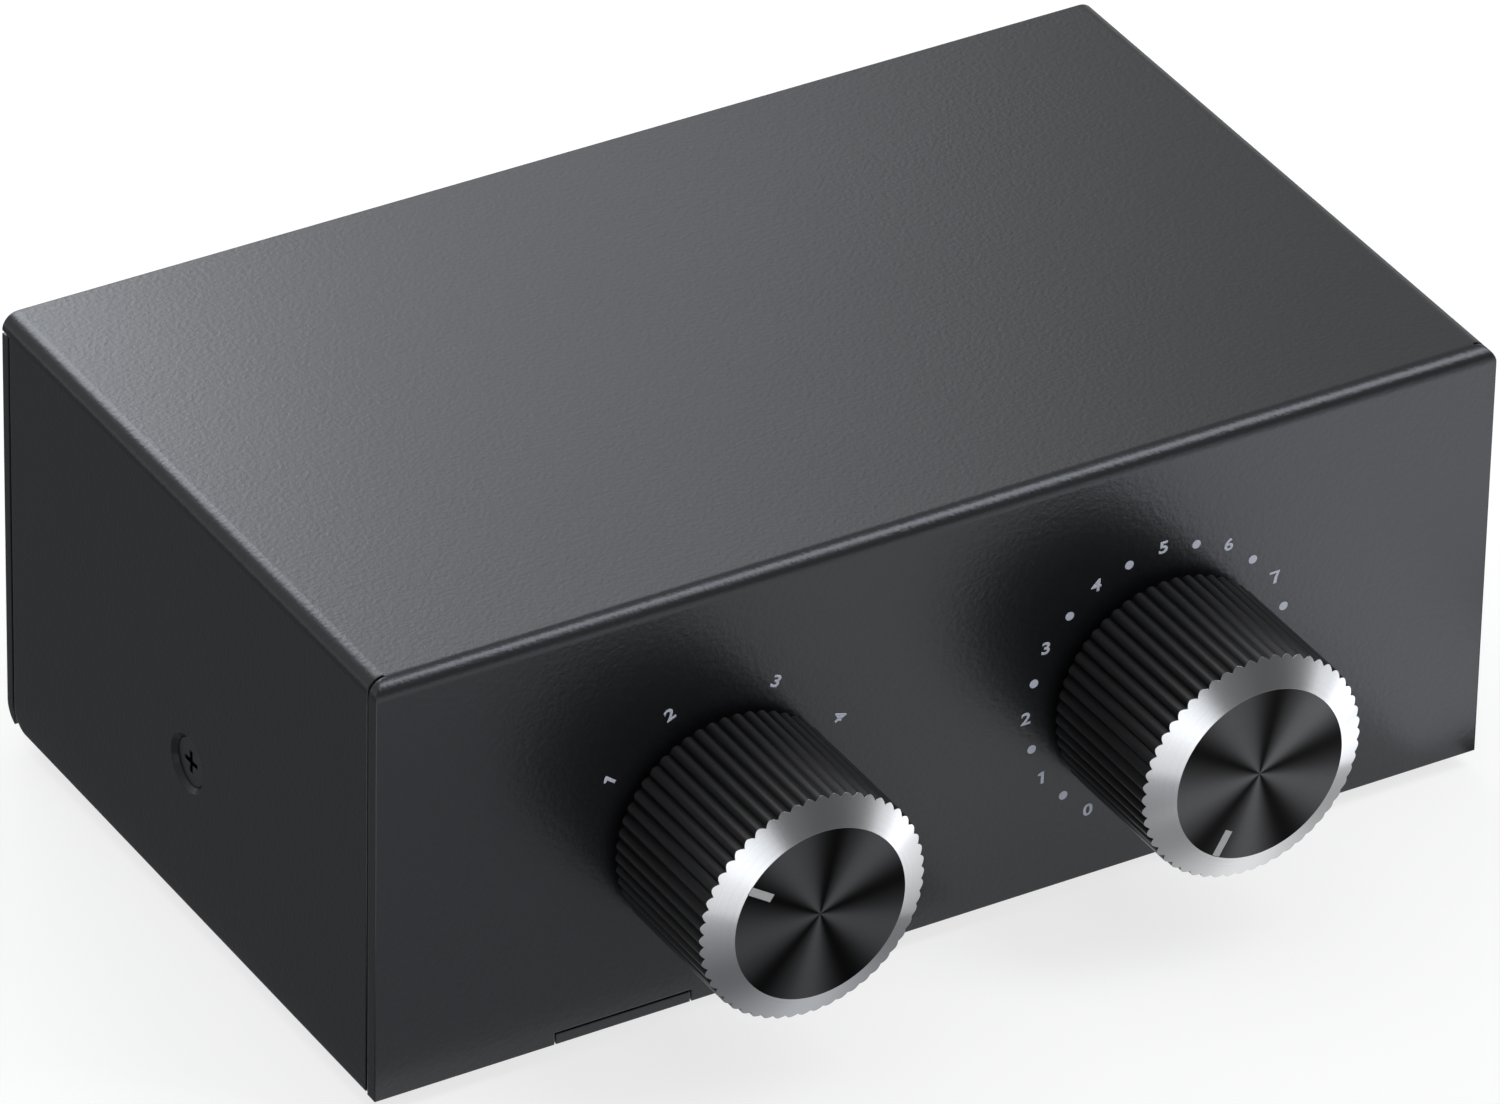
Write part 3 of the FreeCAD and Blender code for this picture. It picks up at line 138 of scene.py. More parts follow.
def color(name, description, default):
    return bpy.props.FloatVectorProperty(
        name=name, description=description, default=default, subtype="COLOR", size=3,
        min=0.0, max=1.0)


class PaintSettings(bpy.types.PropertyGroup):
    """The box's textured paint, its screws and its feet"""

    coat: color("Coat", "Black powder coat", (0.006, 0.0062, 0.007))
    coat_roughness: amount("Coat Roughness", "How far the coat spreads a reflection", 0.3)
    coat_gloss: amount("Coat Gloss", "Strength of the coat's reflection", 0.6)
    coat_tint: color("Coat Tint", "Cool cast of the coat's reflection", (0.9, 0.93, 1.0))
    grain_size: length("Grain Size", "Width of a bump in the coat", 0.5 * MM)
    grain_height: length("Grain Height", "Height of a bump in the coat", 0.036 * MM)
    screw: color("Screw", "Black oxide on the outer screws", (0.1, 0.1, 0.105))
    rubber: color("Rubber", "The four feet", (0.018, 0.018, 0.018))


class KnobSettings(bpy.types.PropertyGroup):
    """The two ribbed knobs"""

    rib_count: bpy.props.IntProperty(
        name="Ribs", description="Ribs round a knob", default=54, min=12)
    rib_height: length("Rib Height", "Rib above its valley", 0.42 * MM)
    rib_shape: amount("Rib Shape", "2 is a round rib, and more is flatter on top", 1.7, top=4.0)
    disc_radius: length("Disc Radius", "Dark disc inside the bevel", 9.6 * MM)
    bevel_depth: length("Bevel Depth", "Bevel along the shaft", 1.6 * MM)
    wall: length("Wall", "Shell under the ribs, and its end", 1.75 * MM)
    # The ribs take this colour on their crests; toward their valleys they are darkened by painted
    # shade.
    anodised: color("Anodised", "Black dye on a rib's crest", (0.02, 0.02, 0.0215))
    # The disc and bevel colours are the brightest tone of their painted highlight rays; the
    # darker tone between the rays is painted shade.
    disc: color("Disc", "Brightest ray of the turned disc", (0.085, 0.086, 0.09))
    bevel: color("Bevel", "Bare metal of the cut bevel", (0.78, 0.79, 0.81))
    groove_pitch: length("Groove Pitch", "Turning marks, one to the next", 0.16 * MM)
    pointer: color("Pointer", "Fill of the pointer groove", (0.36, 0.36, 0.36))


class PrintSettings(bpy.types.PropertyGroup):
    """Numbers and dots on the panels"""

    ink: color("Ink", "Printing ink", (0.52, 0.55, 0.635))
    number_height: length("Number Height", "Dial numbers", 1.45 * MM)
    selector_radius: length("Selector Radius", "Middle of the numbers 1 to 4", 15.3 * MM)
    volume_radius: length("Volume Radius", "Middle of the numbers 0 to 10", 15.45 * MM)
    volume_rise: length("Volume Rise", "How far the print sits above its shaft", 0.3 * MM)
    dot_ring: length("Dot Ring", "Middle of the dots between the numbers", 15.13 * MM)
    dot_radius: length("Dot Radius", "Dots between the volume numbers", 0.5 * MM)
    slant: amount("Slant", "Lean of the dial numbers", 0.05)
    width: amount("Width", "How much wider the dial numbers are", 1.2, top=2.0)
    rear_height: length("Rear Height", "Letters and numbers on the rear", 2.0 * MM)


class MetalSettings(bpy.types.PropertyGroup):
    """Sockets, electrical parts and fasteners"""

    nickel: color("Nickel", "Plating of the sockets", (0.72, 0.69, 0.64))
    zinc: color("Zinc", "Plating of nuts, washers, screws and standoffs", (0.62, 0.63, 0.66))
    brass: color("Brass", "Tinned terminals and wipers", (0.72, 0.66, 0.5))
    aluminium: color("Aluminium", "Shafts and castings", (0.66, 0.66, 0.68))
    left_insert: color("Left", "Insert of a left socket", (0.8, 0.79, 0.75))
    right_insert: color("Right", "Insert of a right socket", (0.55, 0.025, 0.02))
    moulding: color("Moulding", "Black mouldings", (0.02, 0.02, 0.021))
    board: color("Board", "Solder resist", (0.012, 0.09, 0.035))
    laminate: color("Laminate", "Resistance wafers", (0.21, 0.1, 0.04))


class StudioSettings(bpy.types.PropertyGroup):
    """Camera, floor and lamps"""

    aim: bpy.props.FloatVectorProperty(
        name="Aim", description="Point in the middle of the picture", subtype="TRANSLATION",
        size=3, precision=5, default=(-1.313 * MM, 1.63 * MM, 26.356 * MM))
    azimuth: angle("Azimuth", "Camera round the object, from the front to the right", -31.024)
    elevation: angle("Elevation", "Camera above the horizon", 33.064)
    roll: angle("Roll", "Camera turned about its own axis", 1.23)
    distance: length("Distance", "Camera from its aim", 1355.7 * MM)
    lens: bpy.props.FloatProperty(
        name="Lens", description="Focal length on a 36 mm sensor", default=323.33, min=1.0)
    floor: color("Floor", "Pale floor", (0.9, 0.9, 0.9))
    shade: amount("Shade", "How much of the object's shadow the floor keeps", 0.28)
    lamps: amount("Lamps", "Level of every lamp", 1.0, top=4.0)


SETTINGS = {
    "selector_paint": PaintSettings,
    "selector_knobs": KnobSettings,
    "selector_print": PrintSettings,
    "selector_metal": MetalSettings,
    "selector_studio": StudioSettings,
}


# Node groups that several materials share


def new_group(name, inputs, outputs):
    """A shader node group with these sockets; returns its tree, input node and output node."""
    tree = bpy.data.node_groups.new(name, "ShaderNodeTree")
    for socket, value in inputs:
        tree.interface.new_socket(
            socket, in_out="INPUT", socket_type="NodeSocketFloat").default_value = value
    for socket, kind in outputs:
        tree.interface.new_socket(socket, in_out="OUTPUT", socket_type=kind)
    return tree, tree.nodes.new("NodeGroupInput"), tree.nodes.new("NodeGroupOutput")


def joined(tree, kind, *inputs, **settings):
    """A node with its settings made and its inputs linked or set, in order."""
    node = tree.nodes.new(kind)
    for name, value in settings.items():
        setattr(node, name, value)
    for socket, value in zip(node.inputs, inputs):
        if isinstance(value, bpy.types.NodeSocket):
            tree.links.new(value, socket)
        elif value is not None:
            socket.default_value = value
    return node


def sums(tree, operation, *inputs):
    """The result of one math node."""
    return joined(tree, "ShaderNodeMath", *inputs, operation=operation).outputs[0]


def place_in_part(tree):
    return tree.nodes.new("ShaderNodeTexCoord").outputs["Object"]


def noise(tree, place, scale, detail=2.0):
    node = joined(tree, "ShaderNodeTexNoise")
    tree.links.new(place, node.inputs["Vector"])
    if isinstance(scale, bpy.types.NodeSocket):
        tree.links.new(scale, node.inputs["Scale"])
    else:
        node.inputs["Scale"].default_value = scale
    node.inputs["Detail"].default_value = detail
    return node.outputs["Fac"]


def make_grain():
    """Rounded bumps packed together, as in textured paint or a spark-eroded mould."""
    tree, given, made = new_group(
        "Grain", [("Size", 0.0004), ("Height", 0.00001)],
        [("Tone", "NodeSocketFloat"), ("Height", "NodeSocketFloat")])
    place = place_in_part(tree)
    fine = noise(tree, place, sums(tree, "DIVIDE", 1.0, given.outputs["Size"]))
    broad = noise(tree, place, sums(tree, "DIVIDE", 0.35, given.outputs["Size"]), 1.0)
    mixed = sums(tree, "ADD", sums(tree, "MULTIPLY", fine, 0.75),
                 sums(tree, "MULTIPLY", broad, 0.25))
    tree.links.new(mixed, made.inputs["Tone"])
    tree.links.new(sums(tree, "MULTIPLY", mixed, given.outputs["Height"]),
                   made.inputs["Height"])
    return tree


def make_handling():
    """Slow changes of gloss, as fingers and handling leave on any surface."""
    tree, given, made = new_group(
        "Handling", [("Roughness", 0.4), ("Spread", 0.06), ("Patch Size", 0.02)],
        [("Roughness", "NodeSocketFloat")])
    patches = noise(tree, place_in_part(tree),
                    sums(tree, "DIVIDE", 1.0, given.outputs["Patch Size"]), 4.0)
    shift = sums(tree, "MULTIPLY", sums(tree, "SUBTRACT", patches, 0.5),
                 sums(tree, "MULTIPLY", given.outputs["Spread"], 2.0))
    tree.links.new(sums(tree, "ADD", given.outputs["Roughness"], shift),
                   made.inputs["Roughness"])
    return tree


def beside_axis(tree, given):
    """How far a point lies across, along and up from an axis along Y."""
    part = joined(tree, "ShaderNodeSeparateXYZ", place_in_part(tree))
    across = sums(tree, "SUBTRACT", part.outputs["X"], given.outputs["Axis X"])
    up = sums(tree, "SUBTRACT", part.outputs["Z"], given.outputs["Axis Z"])
    return across, part.outputs["Y"], up


def make_turning():
    """Fine uneven rings round an axis along Y, as a lathe leaves them."""
    tree, given, made = new_group(
        "Turning", [("Axis X", 0.0), ("Axis Z", 0.0), ("Pitch", 0.0002), ("Depth", 0.000002)],
        [("Height", "NodeSocketFloat"), ("Tone", "NodeSocketFloat"),
         ("Radius", "NodeSocketFloat")])
    across, along, up = beside_axis(tree, given)
    radius = sums(tree, "SQRT", sums(tree, "ADD", sums(tree, "MULTIPLY", across, across),
                                     sums(tree, "MULTIPLY", up, up)))
    rings = joined(tree, "ShaderNodeCombineXYZ", radius, along)
    fine = noise(tree, rings.outputs[0], sums(tree, "DIVIDE", 1.0, given.outputs["Pitch"]), 3.0)
    tree.links.new(sums(tree, "MULTIPLY", fine, given.outputs["Depth"]), made.inputs["Height"])
    tree.links.new(fine, made.inputs["Tone"])
    tree.links.new(radius, made.inputs["Radius"])
    return tree


def make_rays():
    """Painted highlight rays round an axis along Y: a tone that rises and falls with the angle,
    standing in for the conic reflections of a turned face.
    """
    tree, given, made = new_group(
        "Painted Highlight Rays", [("Axis X", 0.0), ("Axis Z", 0.0), ("Count", 5.0), ("Turn", 0.0)],
        [("Tone", "NodeSocketFloat")])
    across, _, up = beside_axis(tree, given)
    turn = sums(tree, "ARCTAN2", across, up)
    # The axis's own place goes in too, so that two knobs don't wander alike.
    round_it = joined(tree, "ShaderNodeCombineXYZ", sums(tree, "SINE", turn),
                      given.outputs["Axis X"], sums(tree, "COSINE", turn))
    uneven = sums(tree, "MULTIPLY", noise(tree, round_it.outputs[0], 0.9), 0.5)
    swept = sums(tree, "SUBTRACT", sums(tree, "ADD", turn, uneven), given.outputs["Turn"])
    # Painted highlight: the tone is brighter at each ray and darker between the rays, by angle
    # round the axis.
    painted_highlight_wave = sums(tree, "COSINE", sums(tree, "MULTIPLY", swept, given.outputs["Count"]))
    tree.links.new(sums(tree, "MULTIPLY_ADD", painted_highlight_wave, 0.5, 0.5), made.inputs["Tone"])
    return tree


def make_broken_edge():
    """The shading of a sharp edge that was taken off by this much."""
    tree, given, made = new_group("Broken Edge", [("Radius", 0.0001)],
                                  [("Normal", "NodeSocketVector")])
    edge = joined(tree, "ShaderNodeBevel", given.outputs["Radius"], samples=6)
    tree.links.new(edge.outputs["Normal"], made.inputs["Normal"])
    return tree


GROUP_MAKERS = {
    "Grain": make_grain, "Handling": make_handling, "Turning": make_turning,
    "Painted Highlight Rays": make_rays, "Broken Edge": make_broken_edge,
}


def shared(tree, name, **values):
    """A shared node group placed in a material, with its own values."""
    group = bpy.data.node_groups.get(name) or GROUP_MAKERS[name]()
    node = tree.nodes.new("ShaderNodeGroup")
    node.node_tree = group
    for socket, value in values.items():
        node.inputs[socket.replace("_", " ").title()].default_value = value
    return node


# Materials


def new_material(name, base, roughness, **sockets):
    """A Principled material; returns it with its tree and shader."""
    material = bpy.data.materials.new(name)
    material.use_nodes = True
    material.diffuse_color = (*base, 1.0)
    tree = material.node_tree
    shader = tree.nodes["Principled BSDF"]
    shader.inputs["Base Color"].default_value = (*base, 1.0)
    shader.inputs["Roughness"].default_value = roughness
    for socket, value in sockets.items():
        shader.inputs[socket.replace("_", " ")].default_value = value
    return material, tree, shader


def bumped(tree, shader, height, edge):
    """Give the shader a bump, with its sharp edges broken by this radius."""
    bump = tree.nodes.new("ShaderNodeBump")
    bump.inputs["Distance"].default_value = 1.0
    tree.links.new(height, bump.inputs["Height"])
    if edge:
        soft = shared(tree, "Broken Edge", radius=edge)
        tree.links.new(soft.outputs["Normal"], bump.inputs["Normal"])
    tree.links.new(bump.outputs["Normal"], shader.inputs["Normal"])


def toned(tree, shader, factor, dark, light):
    """Base colour that runs from dark to light with a factor."""
    mix = joined(tree, "ShaderNodeMix", data_type="RGBA")
    tree.links.new(factor, mix.inputs["Factor"])
    mix.inputs["A"].default_value = (*dark, 1.0)
    mix.inputs["B"].default_value = (*light, 1.0)
    tree.links.new(mix.outputs["Result"], shader.inputs["Base Color"])


def scaled(base, factor):
    return tuple(min(1.0, part * factor) for part in base)


def grained_material(name, base, roughness, size, height, edge=0.1 * MM, contrast=0.25,
                     spread=0.03, **sockets):
    """Paint, rubber or moulded plastic: a fine grain in tone and height, and uneven gloss."""
    material, tree, shader = new_material(name, base, roughness, **sockets)
    grain = shared(tree, "Grain", size=size, height=height)
    toned(tree, shader, grain.outputs["Tone"], scaled(base, 1 - contrast),
          scaled(base, 1 + contrast))
    gloss = shared(tree, "Handling", roughness=roughness, spread=spread)
    tree.links.new(gloss.outputs["Roughness"], shader.inputs["Roughness"])
    bumped(tree, shader, grain.outputs["Height"], edge)
    return material


def plated_material(name, base, roughness, size=0.15 * MM, height=0.001 * MM, edge=0.08 * MM,
                    metallic=1.0):
    """Metal with a faint grain under its plating."""
    return grained_material(name, base, roughness, size, height, edge, contrast=0.06,
                            spread=0.06, Metallic=metallic)


def turned_material(name, base, roughness, axis, pitch, depth, edge=0.06 * MM, **sockets):
    """Metal cut on a lathe, with rings round an axis along Y."""
    material, tree, shader = new_material(name, base, roughness, **sockets)
    rings = shared(tree, "Turning", axis_x=axis.x, axis_z=axis.z, pitch=pitch, depth=depth)
    toned(tree, shader, rings.outputs["Tone"], scaled(base, 0.92), scaled(base, 1.04))
    gloss = shared(tree, "Handling", roughness=roughness, spread=0.03)
    tree.links.new(gloss.outputs["Roughness"], shader.inputs["Roughness"])
    bumped(tree, shader, rings.outputs["Height"], edge)
    return material


def rayed_material(name, dark, light, roughness, axis, knob, count, turn, depth, **sockets):
    """Turned metal with this many painted highlight rays in its base colour and painted shade
    between them, one ray at this turn in degrees.
    """
    material, tree, shader = new_material(name, light, roughness, **sockets)
    rings = shared(tree, "Turning", axis_x=axis.x, axis_z=axis.z, pitch=knob.groove_pitch,
                   depth=depth)
    rays = shared(tree, "Painted Highlight Rays", axis_x=axis.x, axis_z=axis.z, count=count,
                  turn=math.radians(turn))
    uneven = sums(tree, "MULTIPLY_ADD", rings.outputs["Tone"], 0.3, 0.85)
    toned(tree, shader, sums(tree, "MULTIPLY", rays.outputs["Tone"], uneven), dark, light)
    bumped(tree, shader, rings.outputs["Height"], 0.06 * MM)
    tangent = joined(tree, "ShaderNodeTangent", direction_type="RADIAL", axis="Y")
    tree.links.new(tangent.outputs[0], shader.inputs["Tangent"])
    return material


def ribbed_material(name, axis, knob):
    """Dyed ribs with painted shade that darkens them down into their valleys, and a random grain
    in tone on their crests.
    """
    material, tree, shader = new_material(name, knob.anodised, 0.38, Specular_IOR_Level=0.55)
    rings = shared(tree, "Turning", axis_x=axis.x, axis_z=axis.z, pitch=0.1 * MM, depth=0.0)
    # Painted shade: the base colour falls toward near black from the crest down into each valley.
    crest = joined(tree, "ShaderNodeMapRange", rings.outputs["Radius"],
                   KNOB_RADIUS - knob.rib_height * 0.7, KNOB_RADIUS)
    grain = shared(tree, "Grain", size=0.1 * MM, height=0.0015 * MM)
    valley_shade_and_grain = sums(tree, "MULTIPLY", crest.outputs[0],
                sums(tree, "MULTIPLY_ADD", grain.outputs["Tone"], 0.5, 0.75))
    toned(tree, shader, valley_shade_and_grain, scaled(knob.anodised, 0.04), knob.anodised)
    bumped(tree, shader, grain.outputs["Height"], 0.08 * MM)
    return material


def dress(material, *nodes):
    """Give packed nodes their material."""
    for name in nodes:
        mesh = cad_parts[name].data
        mesh.materials.clear()
        mesh.materials.append(material)


# Meshes


def placed(name, data):
    """A new object in the scene."""
    thing = bpy.data.objects.new(name, data)
    bpy.context.scene.collection.objects.link(thing)
    return thing


def mesh_of(bm, name):
    """The finished mesh of what was built."""
    mesh = bpy.data.meshes.new(name)
    bm.to_mesh(mesh)
    bm.free()
    return mesh


def new_piece(name, mesh, body, slot, *materials):
    """A piece of the object that rides on a body, with its materials in order."""
    for material in materials:
        mesh.materials.append(material)
    piece = placed(name, mesh)
    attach(piece, body)
    return piece


def baked_mesh(thing, name):
    """The mesh that an object shows with its modifiers; the object itself goes."""
    bpy.context.view_layer.update()
    depsgraph = bpy.context.evaluated_depsgraph_get()
    mesh = bpy.data.meshes.new_from_object(thing.evaluated_get(depsgraph), depsgraph=depsgraph)
    mesh.name = name
    bpy.data.objects.remove(thing)
    return mesh


def lathe(bm, rings, columns):
    """Closed skin through rings of (depth, radius of a column, material), pole to pole."""
    rows = []
    for depth, radius_at, _ in rings[1:-1]:
        row = []
        for column in range(columns):
            turn = math.tau * column / columns
            radius = radius_at(turn)
            row.append(bm.verts.new((radius * math.sin(turn), depth(radius),
                                     radius * math.cos(turn))))
        rows.append(row)
    first = bm.verts.new((0, rings[0][0](0), 0))
    last = bm.verts.new((0, rings[-1][0](0), 0))
    for column in range(columns):
        after = (column + 1) % columns
        corners = [(first, rows[0][column], rows[0][after])]
        corners += [(near[after], near[column], far[column], far[after])
                    for near, far in zip(rows, rows[1:])]
        corners.append((rows[-1][after], rows[-1][column], last))
        for points, ring in zip(corners, rings):
            bm.faces.new(points).material_index = ring[2]


def add_box(bm, low, high, turn):
    """A box between two corners, then turned about the Y axis."""
    made = bmesh.ops.create_cube(bm, size=1.0)
    sizes = Matrix.Diagonal((*(Vector(high) - Vector(low)), 1.0))
    move = Matrix.Translation((Vector(high) + Vector(low)) / 2)
    spin = Matrix.Rotation(turn, 4, "Y")
    bmesh.ops.transform(bm, matrix=spin @ move @ sizes, verts=made["verts"])


def knob_mesh(name, axis, pointer, knob):
    """A ribbed cup with a cut bevel, and a groove where its pointer lies."""
    bevel_width = KNOB_RADIUS - knob.disc_radius
    deep = KNOB_REAR - KNOB_FACE
    inner = KNOB_RADIUS - knob.rib_height - knob.wall

    def rib(inset=0.0):
        def radius_at(turn):
            phase = turn / math.tau * knob.rib_count % 1.0
            return (KNOB_RADIUS - inset
                    - knob.rib_height * abs(2 * phase - 1) ** knob.rib_shape)
        return radius_at

    def fixed(radius):
        return lambda turn: radius

    def at(depth):
        return lambda radius: depth

    def bevel_at(radius):
        return (radius - knob.disc_radius) / bevel_width * knob.bevel_depth

    side, bright, disc = 0, 1, 2
    rings = [(at(0), None, disc)]
    rings += [(at(0), fixed(knob.disc_radius * part), disc) for part in (0.02, 0.35, 0.7)]
    rings += [(at(0), fixed(knob.disc_radius), bright)]
    rings += [(bevel_at, fixed(knob.disc_radius + bevel_width * part), bright)
              for part in (0.3, 0.6, 0.86)]
    rings += [(bevel_at, rib(), side)]
    rings += [(at(deep * part), rib(), side) for part in (0.2, 0.5, 0.8)]
    rings += [(at(deep - KNOB_CHAMFER), rib(), side), (at(deep), rib(KNOB_CHAMFER), side)]
    rings += [(at(deep), fixed(inner), side), (at(knob.wall), fixed(inner), side)]
    rings += [(at(knob.wall), fixed(inner / 2), side), (at(knob.wall), None, side)]
    bm = bmesh.new()
    lathe(bm, rings, knob.rib_count * RIB_COLUMNS)
    bmesh.ops.recalc_face_normals(bm, faces=bm.faces)
    cup = placed(name, mesh_of(bm, name))

    low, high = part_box(pointer)
    reach = (low + high) / 2 - axis
    turn = math.atan2(reach.x, reach.z)
    bm = bmesh.new()
    add_box(bm, (-GROOVE_HALF_WIDTH, -CUTTER_SPARE, GROOVE_FROM),
            (GROOVE_HALF_WIDTH, GROOVE_DEPTH, GROOVE_TO), turn)
    cutter = placed("groove", mesh_of(bm, "groove"))
    cut = cup.modifiers.new("groove", "BOOLEAN")
    cut.operation, cut.solver, cut.object = "DIFFERENCE", "EXACT", cutter
    mesh = baked_mesh(cup, name)
    bpy.data.objects.remove(cutter)
    mesh.transform(Matrix.Translation((axis.x, KNOB_FACE, axis.z)))
    mesh.polygons.foreach_set("use_smooth", [True] * len(mesh.polygons))
    mesh.set_sharp_from_angle(angle=math.radians(24))
    return mesh


def letter_mesh(text, height, slant=0.0, width=1.0, weight=0.036):
    """Bold letters of ink in the XZ plane, as tall as asked and centred on the origin."""
    curve = bpy.data.curves.new("letters", "FONT")
    curve.body, curve.shear, curve.bevel_depth = text, slant, weight
    curve.resolution_u, curve.bevel_resolution = 6, 0
    mesh = baked_mesh(placed("letters", curve), "letters")
    if text == "1":
        add_flag(mesh, slant)
    if text == "7":
        mesh.clear_geometry()
        add_stroke(mesh, SEVEN)
    mesh.transform(Matrix.Diagonal((width, 1.0, LETTER_FLATTENING, 1.0)))
    xs = [v.co.x for v in mesh.vertices]
    ys = [v.co.y for v in mesh.vertices]
    scale = height / (max(ys) - min(ys))
    centre = Vector(((max(xs) + min(xs)) / 2, (max(ys) + min(ys)) / 2, 0))
    mesh.transform(Matrix.Rotation(math.pi / 2, 4, "X") @ Matrix.Scale(scale, 4)
                   @ Matrix.Translation(-centre))
    return mesh


def add_flag(mesh, slant):
    """Give a plain figure 1 the short stroke at the left of its top."""
    left, top = min(v.co.x for v in mesh.vertices), max(v.co.y for v in mesh.vertices)
    foot = left + slant * top
    add_stroke(mesh, [(foot + x, top + y) for x, y in FLAG])


def add_stroke(mesh, points):
    """Add a flat stroke of ink with this outline, named clockwise."""
    bm = bmesh.new()
    bm.from_mesh(mesh)
    bm.faces.new([bm.verts.new((x, y, STROKE_LEVEL)) for x, y in reversed(points)])
    bm.to_mesh(mesh)
    bm.free()


def stamp(bm, mesh, matrix):
    """Add a mesh to what is being built, moved by a matrix."""
    mesh.transform(matrix)
    bm.from_mesh(mesh)
    bpy.data.meshes.remove(mesh)


def dot_mesh(radius):
    bm = bmesh.new()
    bmesh.ops.create_circle(bm, cap_ends=True, radius=radius, segments=24)
    mesh = mesh_of(bm, "dot")
    mesh.transform(Matrix.Rotation(math.pi / 2, 4, "X"))
    return mesh


def print_piece(name, marks, panel, facing, material):
    """Ink on a panel at this Y: each mark is (mesh, x, z, turn clockwise as read)."""
    bm = bmesh.new()
    flip = Matrix.Identity(4) if facing < 0 else Matrix.Rotation(math.pi, 4, "Z")
    for mesh, x, z, turn in marks:
        spin = Matrix.Rotation(turn, 4, "Y")
        stamp(bm, mesh, Matrix.Translation((x, panel + facing * INK_HEIGHT, z)) @ flip @ spin)
    return new_piece(name, mesh_of(bm, name), "case", "pale_fill", material)


def on_dial(axis, radius, turn):
    return axis.x + radius * math.sin(turn), axis.z + radius * math.cos(turn)


# Operators, one for each piece or group of like pieces


class SELECTOR_OT_paint_case(bpy.types.Operator):
    """Coat the cover and the base chassis in textured black paint"""

    bl_idname = "selector.paint_case"
    bl_label = "Paint Case"

    def execute(self, context):
        paint = context.scene.selector_paint
        coat = grained_material(
            "powder coat", paint.coat, paint.coat_roughness, paint.grain_size,
            paint.grain_height, edge=0.25 * MM, contrast=0.5,
            Specular_IOR_Level=paint.coat_gloss, Specular_Tint=(*paint.coat_tint, 1.0))
        dress(coat, "cover", "base_chassis")
        return {"FINISHED"}


class SELECTOR_OT_fit_screws(bpy.types.Operator):
    """Finish the screws that show in black oxide and the board's screws in zinc"""

    bl_idname = "selector.fit_screws"
    bl_label = "Fit Screws"

    def execute(self, context):
        oxide = plated_material("black oxide", context.scene.selector_paint.screw, 0.25,
                                 edge=0.2 * MM)
        dress(oxide, "side_screws", "jack_screws")
        zinc = plated_material("zinc plate", context.scene.selector_metal.zinc, 0.35)
        dress(zinc, "board_screws", "board_standoffs", "switch_washer", "switch_nut",
              "pot_washer", "pot_nut", "pot_can", "detent_ball", "detent_spring")
        return {"FINISHED"}


class SELECTOR_OT_stick_feet(bpy.types.Operator):
    """Give the four feet their matt rubber"""

    bl_idname = "selector.stick_feet"
    bl_label = "Stick Feet"

    def execute(self, context):
        rubber = grained_material("foot rubber", context.scene.selector_paint.rubber, 0.75,
                                  0.2 * MM, 0.006 * MM, edge=0.3 * MM)
        dress(rubber, "rubber_feet")
        return {"FINISHED"}


class SELECTOR_OT_turn_knobs(bpy.types.Operator):
    """Turn the two ribbed knob shells, with their bright bevel and dark disc"""

    bl_idname = "selector.turn_knobs"
    bl_label = "Turn Knobs"

    def execute(self, context):
        knob = context.scene.selector_knobs
        for name, axis in SHAFTS.items():
            skin = ribbed_material(f"{name} ribs with painted valley shade", axis, knob)
            # The bevel and the disc take painted highlight rays in their base colour, with
            # painted shade between them.
            bright = rayed_material(f"{name} cut bevel", scaled(knob.bevel, 0.3), knob.bevel,
                                    0.24, axis, knob, count=3, turn=80,
                                    depth=0.0002 * MM, Metallic=1.0, Anisotropic=0.5,
                                    Anisotropic_Rotation=0.25)
            disc = rayed_material(f"{name} turned disc", scaled(knob.disc, 0.03), knob.disc,
                                  0.42, axis, knob, count=5, turn=62,
                                  depth=0.0012 * MM, Metallic=1.0, Anisotropic=0.8,
                                  Anisotropic_Rotation=0.25)
            mesh = knob_mesh(f"{name}_knob_turned", axis, f"{name}_pointer", knob)
            piece = new_piece(f"{name}_knob_turned", mesh, name, "black_anodised",
                              skin, bright, disc)
            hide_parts(f"{name}_knob_shell")
        return {"FINISHED"}


class SELECTOR_OT_fill_pointers(bpy.types.Operator):
    """Fill the pointer grooves and finish the cores and shafts"""

    bl_idname = "selector.fill_pointers"
    bl_label = "Fill Pointers"

    def execute(self, context):
        knob, metal = context.scene.selector_knobs, context.scene.selector_metal
        fill = grained_material("pointer fill", knob.pointer, 0.5, 0.15 * MM, 0.001 * MM,
                                contrast=0.1)
        dress(fill, "selector_pointer", "volume_pointer")
        core = grained_material("knob core", metal.moulding, 0.5, 0.2 * MM, 0.003 * MM)
        dress(core, "selector_knob_core", "volume_knob_core")
        for name, axis in SHAFTS.items():
            dress(turned_material(f"{name} shaft metal", metal.aluminium, 0.3, axis,
                                  0.2 * MM, 0.001 * MM, Metallic=1.0), f"{name}_shaft")
        return {"FINISHED"}


